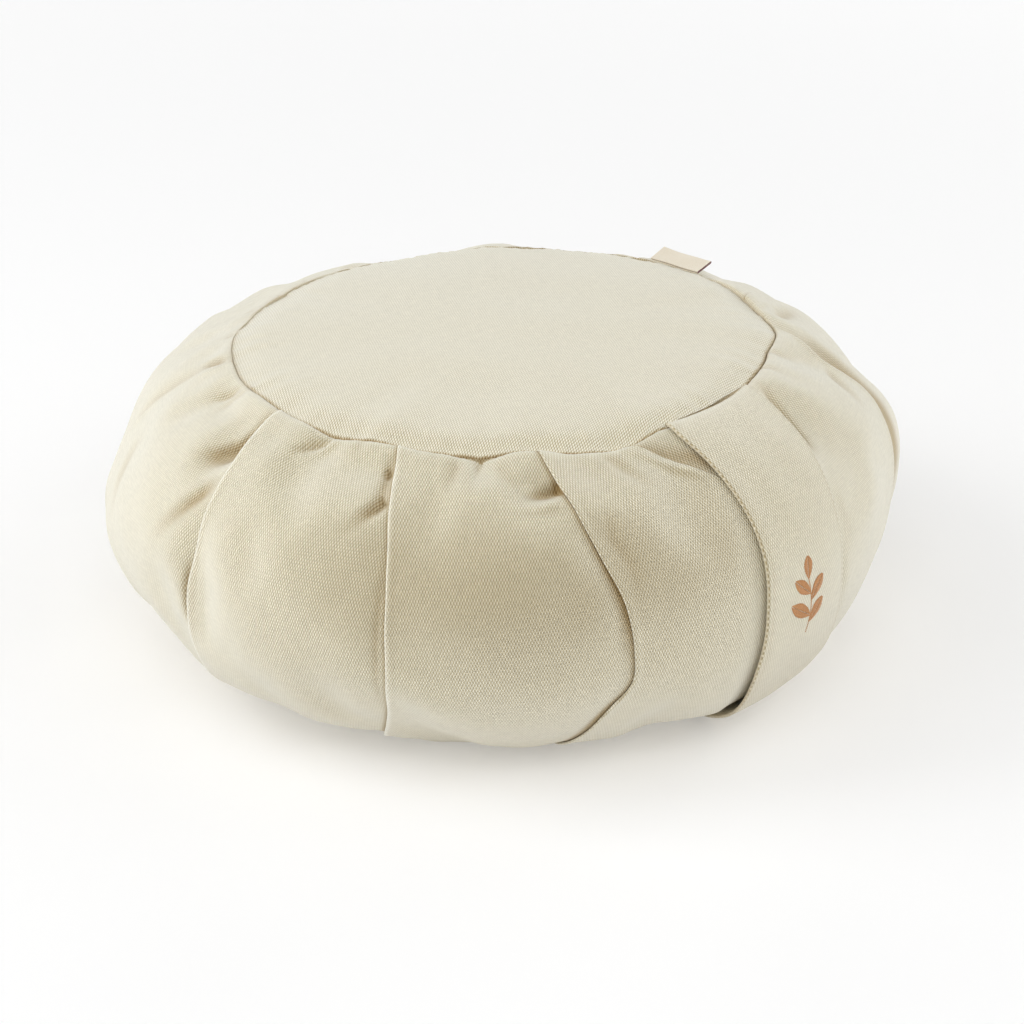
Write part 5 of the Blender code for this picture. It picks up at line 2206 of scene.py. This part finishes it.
@dataclass
class Studio:
    """Plain pale floor with a faint glow of its own, soft light all round and the camera."""

    floor_half: float = 9.0
    floor_height: float = -0.4 * MM
    floor_colour: Colour = (0.72, 0.72, 0.72, 1.0)
    floor_glow: float = 0.272
    world: Colour = WHITE
    world_strength: float = 0.0
    aim: tuple[float, float, float] = (0.0, 0.0, 0.06)
    distance: float = 2.2
    light_size: float = 1.2
    lights: tuple[SoftLight, ...] = (
        SoftLight("left_low", 270.0, 12.0, 9.3),
        SoftLight("back_left_low", 225.0, 12.0, 9.2),
        SoftLight("back_low", 180.0, 12.0, 11.5),
        SoftLight("back_right_low", 135.0, 12.0, 16.2),
        SoftLight("right_low", 90.0, 12.0, 7.8),
        SoftLight("front", 0.0, 38.0, 10.0),
        SoftLight("front_right", 45.0, 38.0, 8.4),
        SoftLight("right", 80.0, 38.0, 3.5),
        SoftLight("rear_right", 112.0, 38.0, 3.2),
        SoftLight("left", 270.0, 38.0, 14.4),
        SoftLight("front_left", 315.0, 38.0, 7.8),
        SoftLight("front_high", 0.0, 62.0, 6.7),
        SoftLight("left_high", 270.0, 62.0, 4.5),
        SoftLight("overhead", 150.0, 70.0, 1.4),
    )
    camera_place: tuple[float, float, float] = (0.0037, -1.2371, 0.6570)
    camera_tilt: float = 63.86
    camera_roll: float = -0.71
    lens: float = 104.2
    sensor: float = 36.0

    def build(self) -> None:
        """Set the floor, the lights, the world and the camera."""
        self.build_floor()
        for light in self.lights:
            self.build_light(light)
        world = bpy.data.worlds.new("soft_sky")
        world.use_nodes = True
        background = world.node_tree.nodes["Background"]
        background.inputs["Color"].default_value = self.world
        background.inputs["Strength"].default_value = self.world_strength
        bpy.context.scene.world = world
        self.build_camera()
        bpy.context.scene.view_settings.view_transform = "Standard"

    def build_floor(self) -> None:
        """A wide plain floor just under the base."""
        skin = bmesh.new()
        bmesh.ops.create_grid(skin, x_segments=1, y_segments=1, size=self.floor_half)
        bmesh.ops.translate(skin, vec=(0.0, 0.0, self.floor_height), verts=skin.verts)
        mesh = mesh_of(skin, "floor")
        bench = NodeBench("pale_floor")
        bench.set_shader({
            "Base Color": self.floor_colour,
            "Roughness": 0.9,
            "Specular IOR Level": 0.1,
            "Emission Color": WHITE,
            "Emission Strength": self.floor_glow,
        })
        add_piece("studio_floor", mesh, bench.material)

    def build_light(self, light: SoftLight) -> None:
        """Hang one light and aim it."""
        data = bpy.data.lights.new(light.name, "AREA")
        data.shape = "SQUARE"
        data.size = self.light_size
        data.energy = light.power
        turn, climb = math.radians(light.azimuth), math.radians(light.elevation)
        level = math.cos(climb)
        heading = Vector((math.sin(turn) * level, -math.cos(turn) * level, math.sin(climb)))
        lamp = bpy.data.objects.new(light.name, data)
        lamp.location = Vector(self.aim) + self.distance * heading
        lamp.rotation_euler = (-heading).to_track_quat("-Z", "Y").to_euler()
        bpy.context.scene.collection.objects.link(lamp)

    def build_camera(self) -> None:
        """Stand the camera where the cushion is seen from."""
        data = bpy.data.cameras.new("camera")
        data.lens = self.lens
        data.sensor_width = self.sensor
        camera = bpy.data.objects.new("camera", data)
        tilt = Matrix.Rotation(math.radians(self.camera_tilt), 4, "X")
        roll = Matrix.Rotation(math.radians(self.camera_roll), 4, "Z")
        camera.matrix_world = Matrix.Translation(self.camera_place) @ tilt @ roll
        bpy.context.scene.collection.objects.link(camera)
        bpy.context.scene.camera = camera


def main() -> None:
    """Build the studio and the cushion's pieces, in a maker's order."""
    logging.basicConfig(level=logging.INFO, format="%(message)s")
    Studio().build()
    swell = FillingSwell()
    swell.run()
    canvas = CanvasFinish().make()
    top = CanvasFinish(
        name="top_canvas", turn=math.radians(12.0), contrast=1.8, weave_height=0.12 * MM
    ).make()
    strap = CanvasFinish(name="strap_canvas").make()
    thread = ThreadFinish("edge_thread", (0.75, 0.68, 0.52, 1.0), (0.68, 0.60, 0.44, 1.0)).make()
    silk = ThreadFinish("sprig_thread", (0.60, 0.29, 0.10, 1.0), (0.46, 0.20, 0.06, 1.0), 0.42, 0.2).make()
    SideBand().build(swell, canvas)
    TopPanel().build(top)
    BasePanel().build(canvas)
    CarryStrap().build(strap, thread, silk)
    SideLabel().build(TapeFinish().make())


if __name__ == "__main__":
    main()
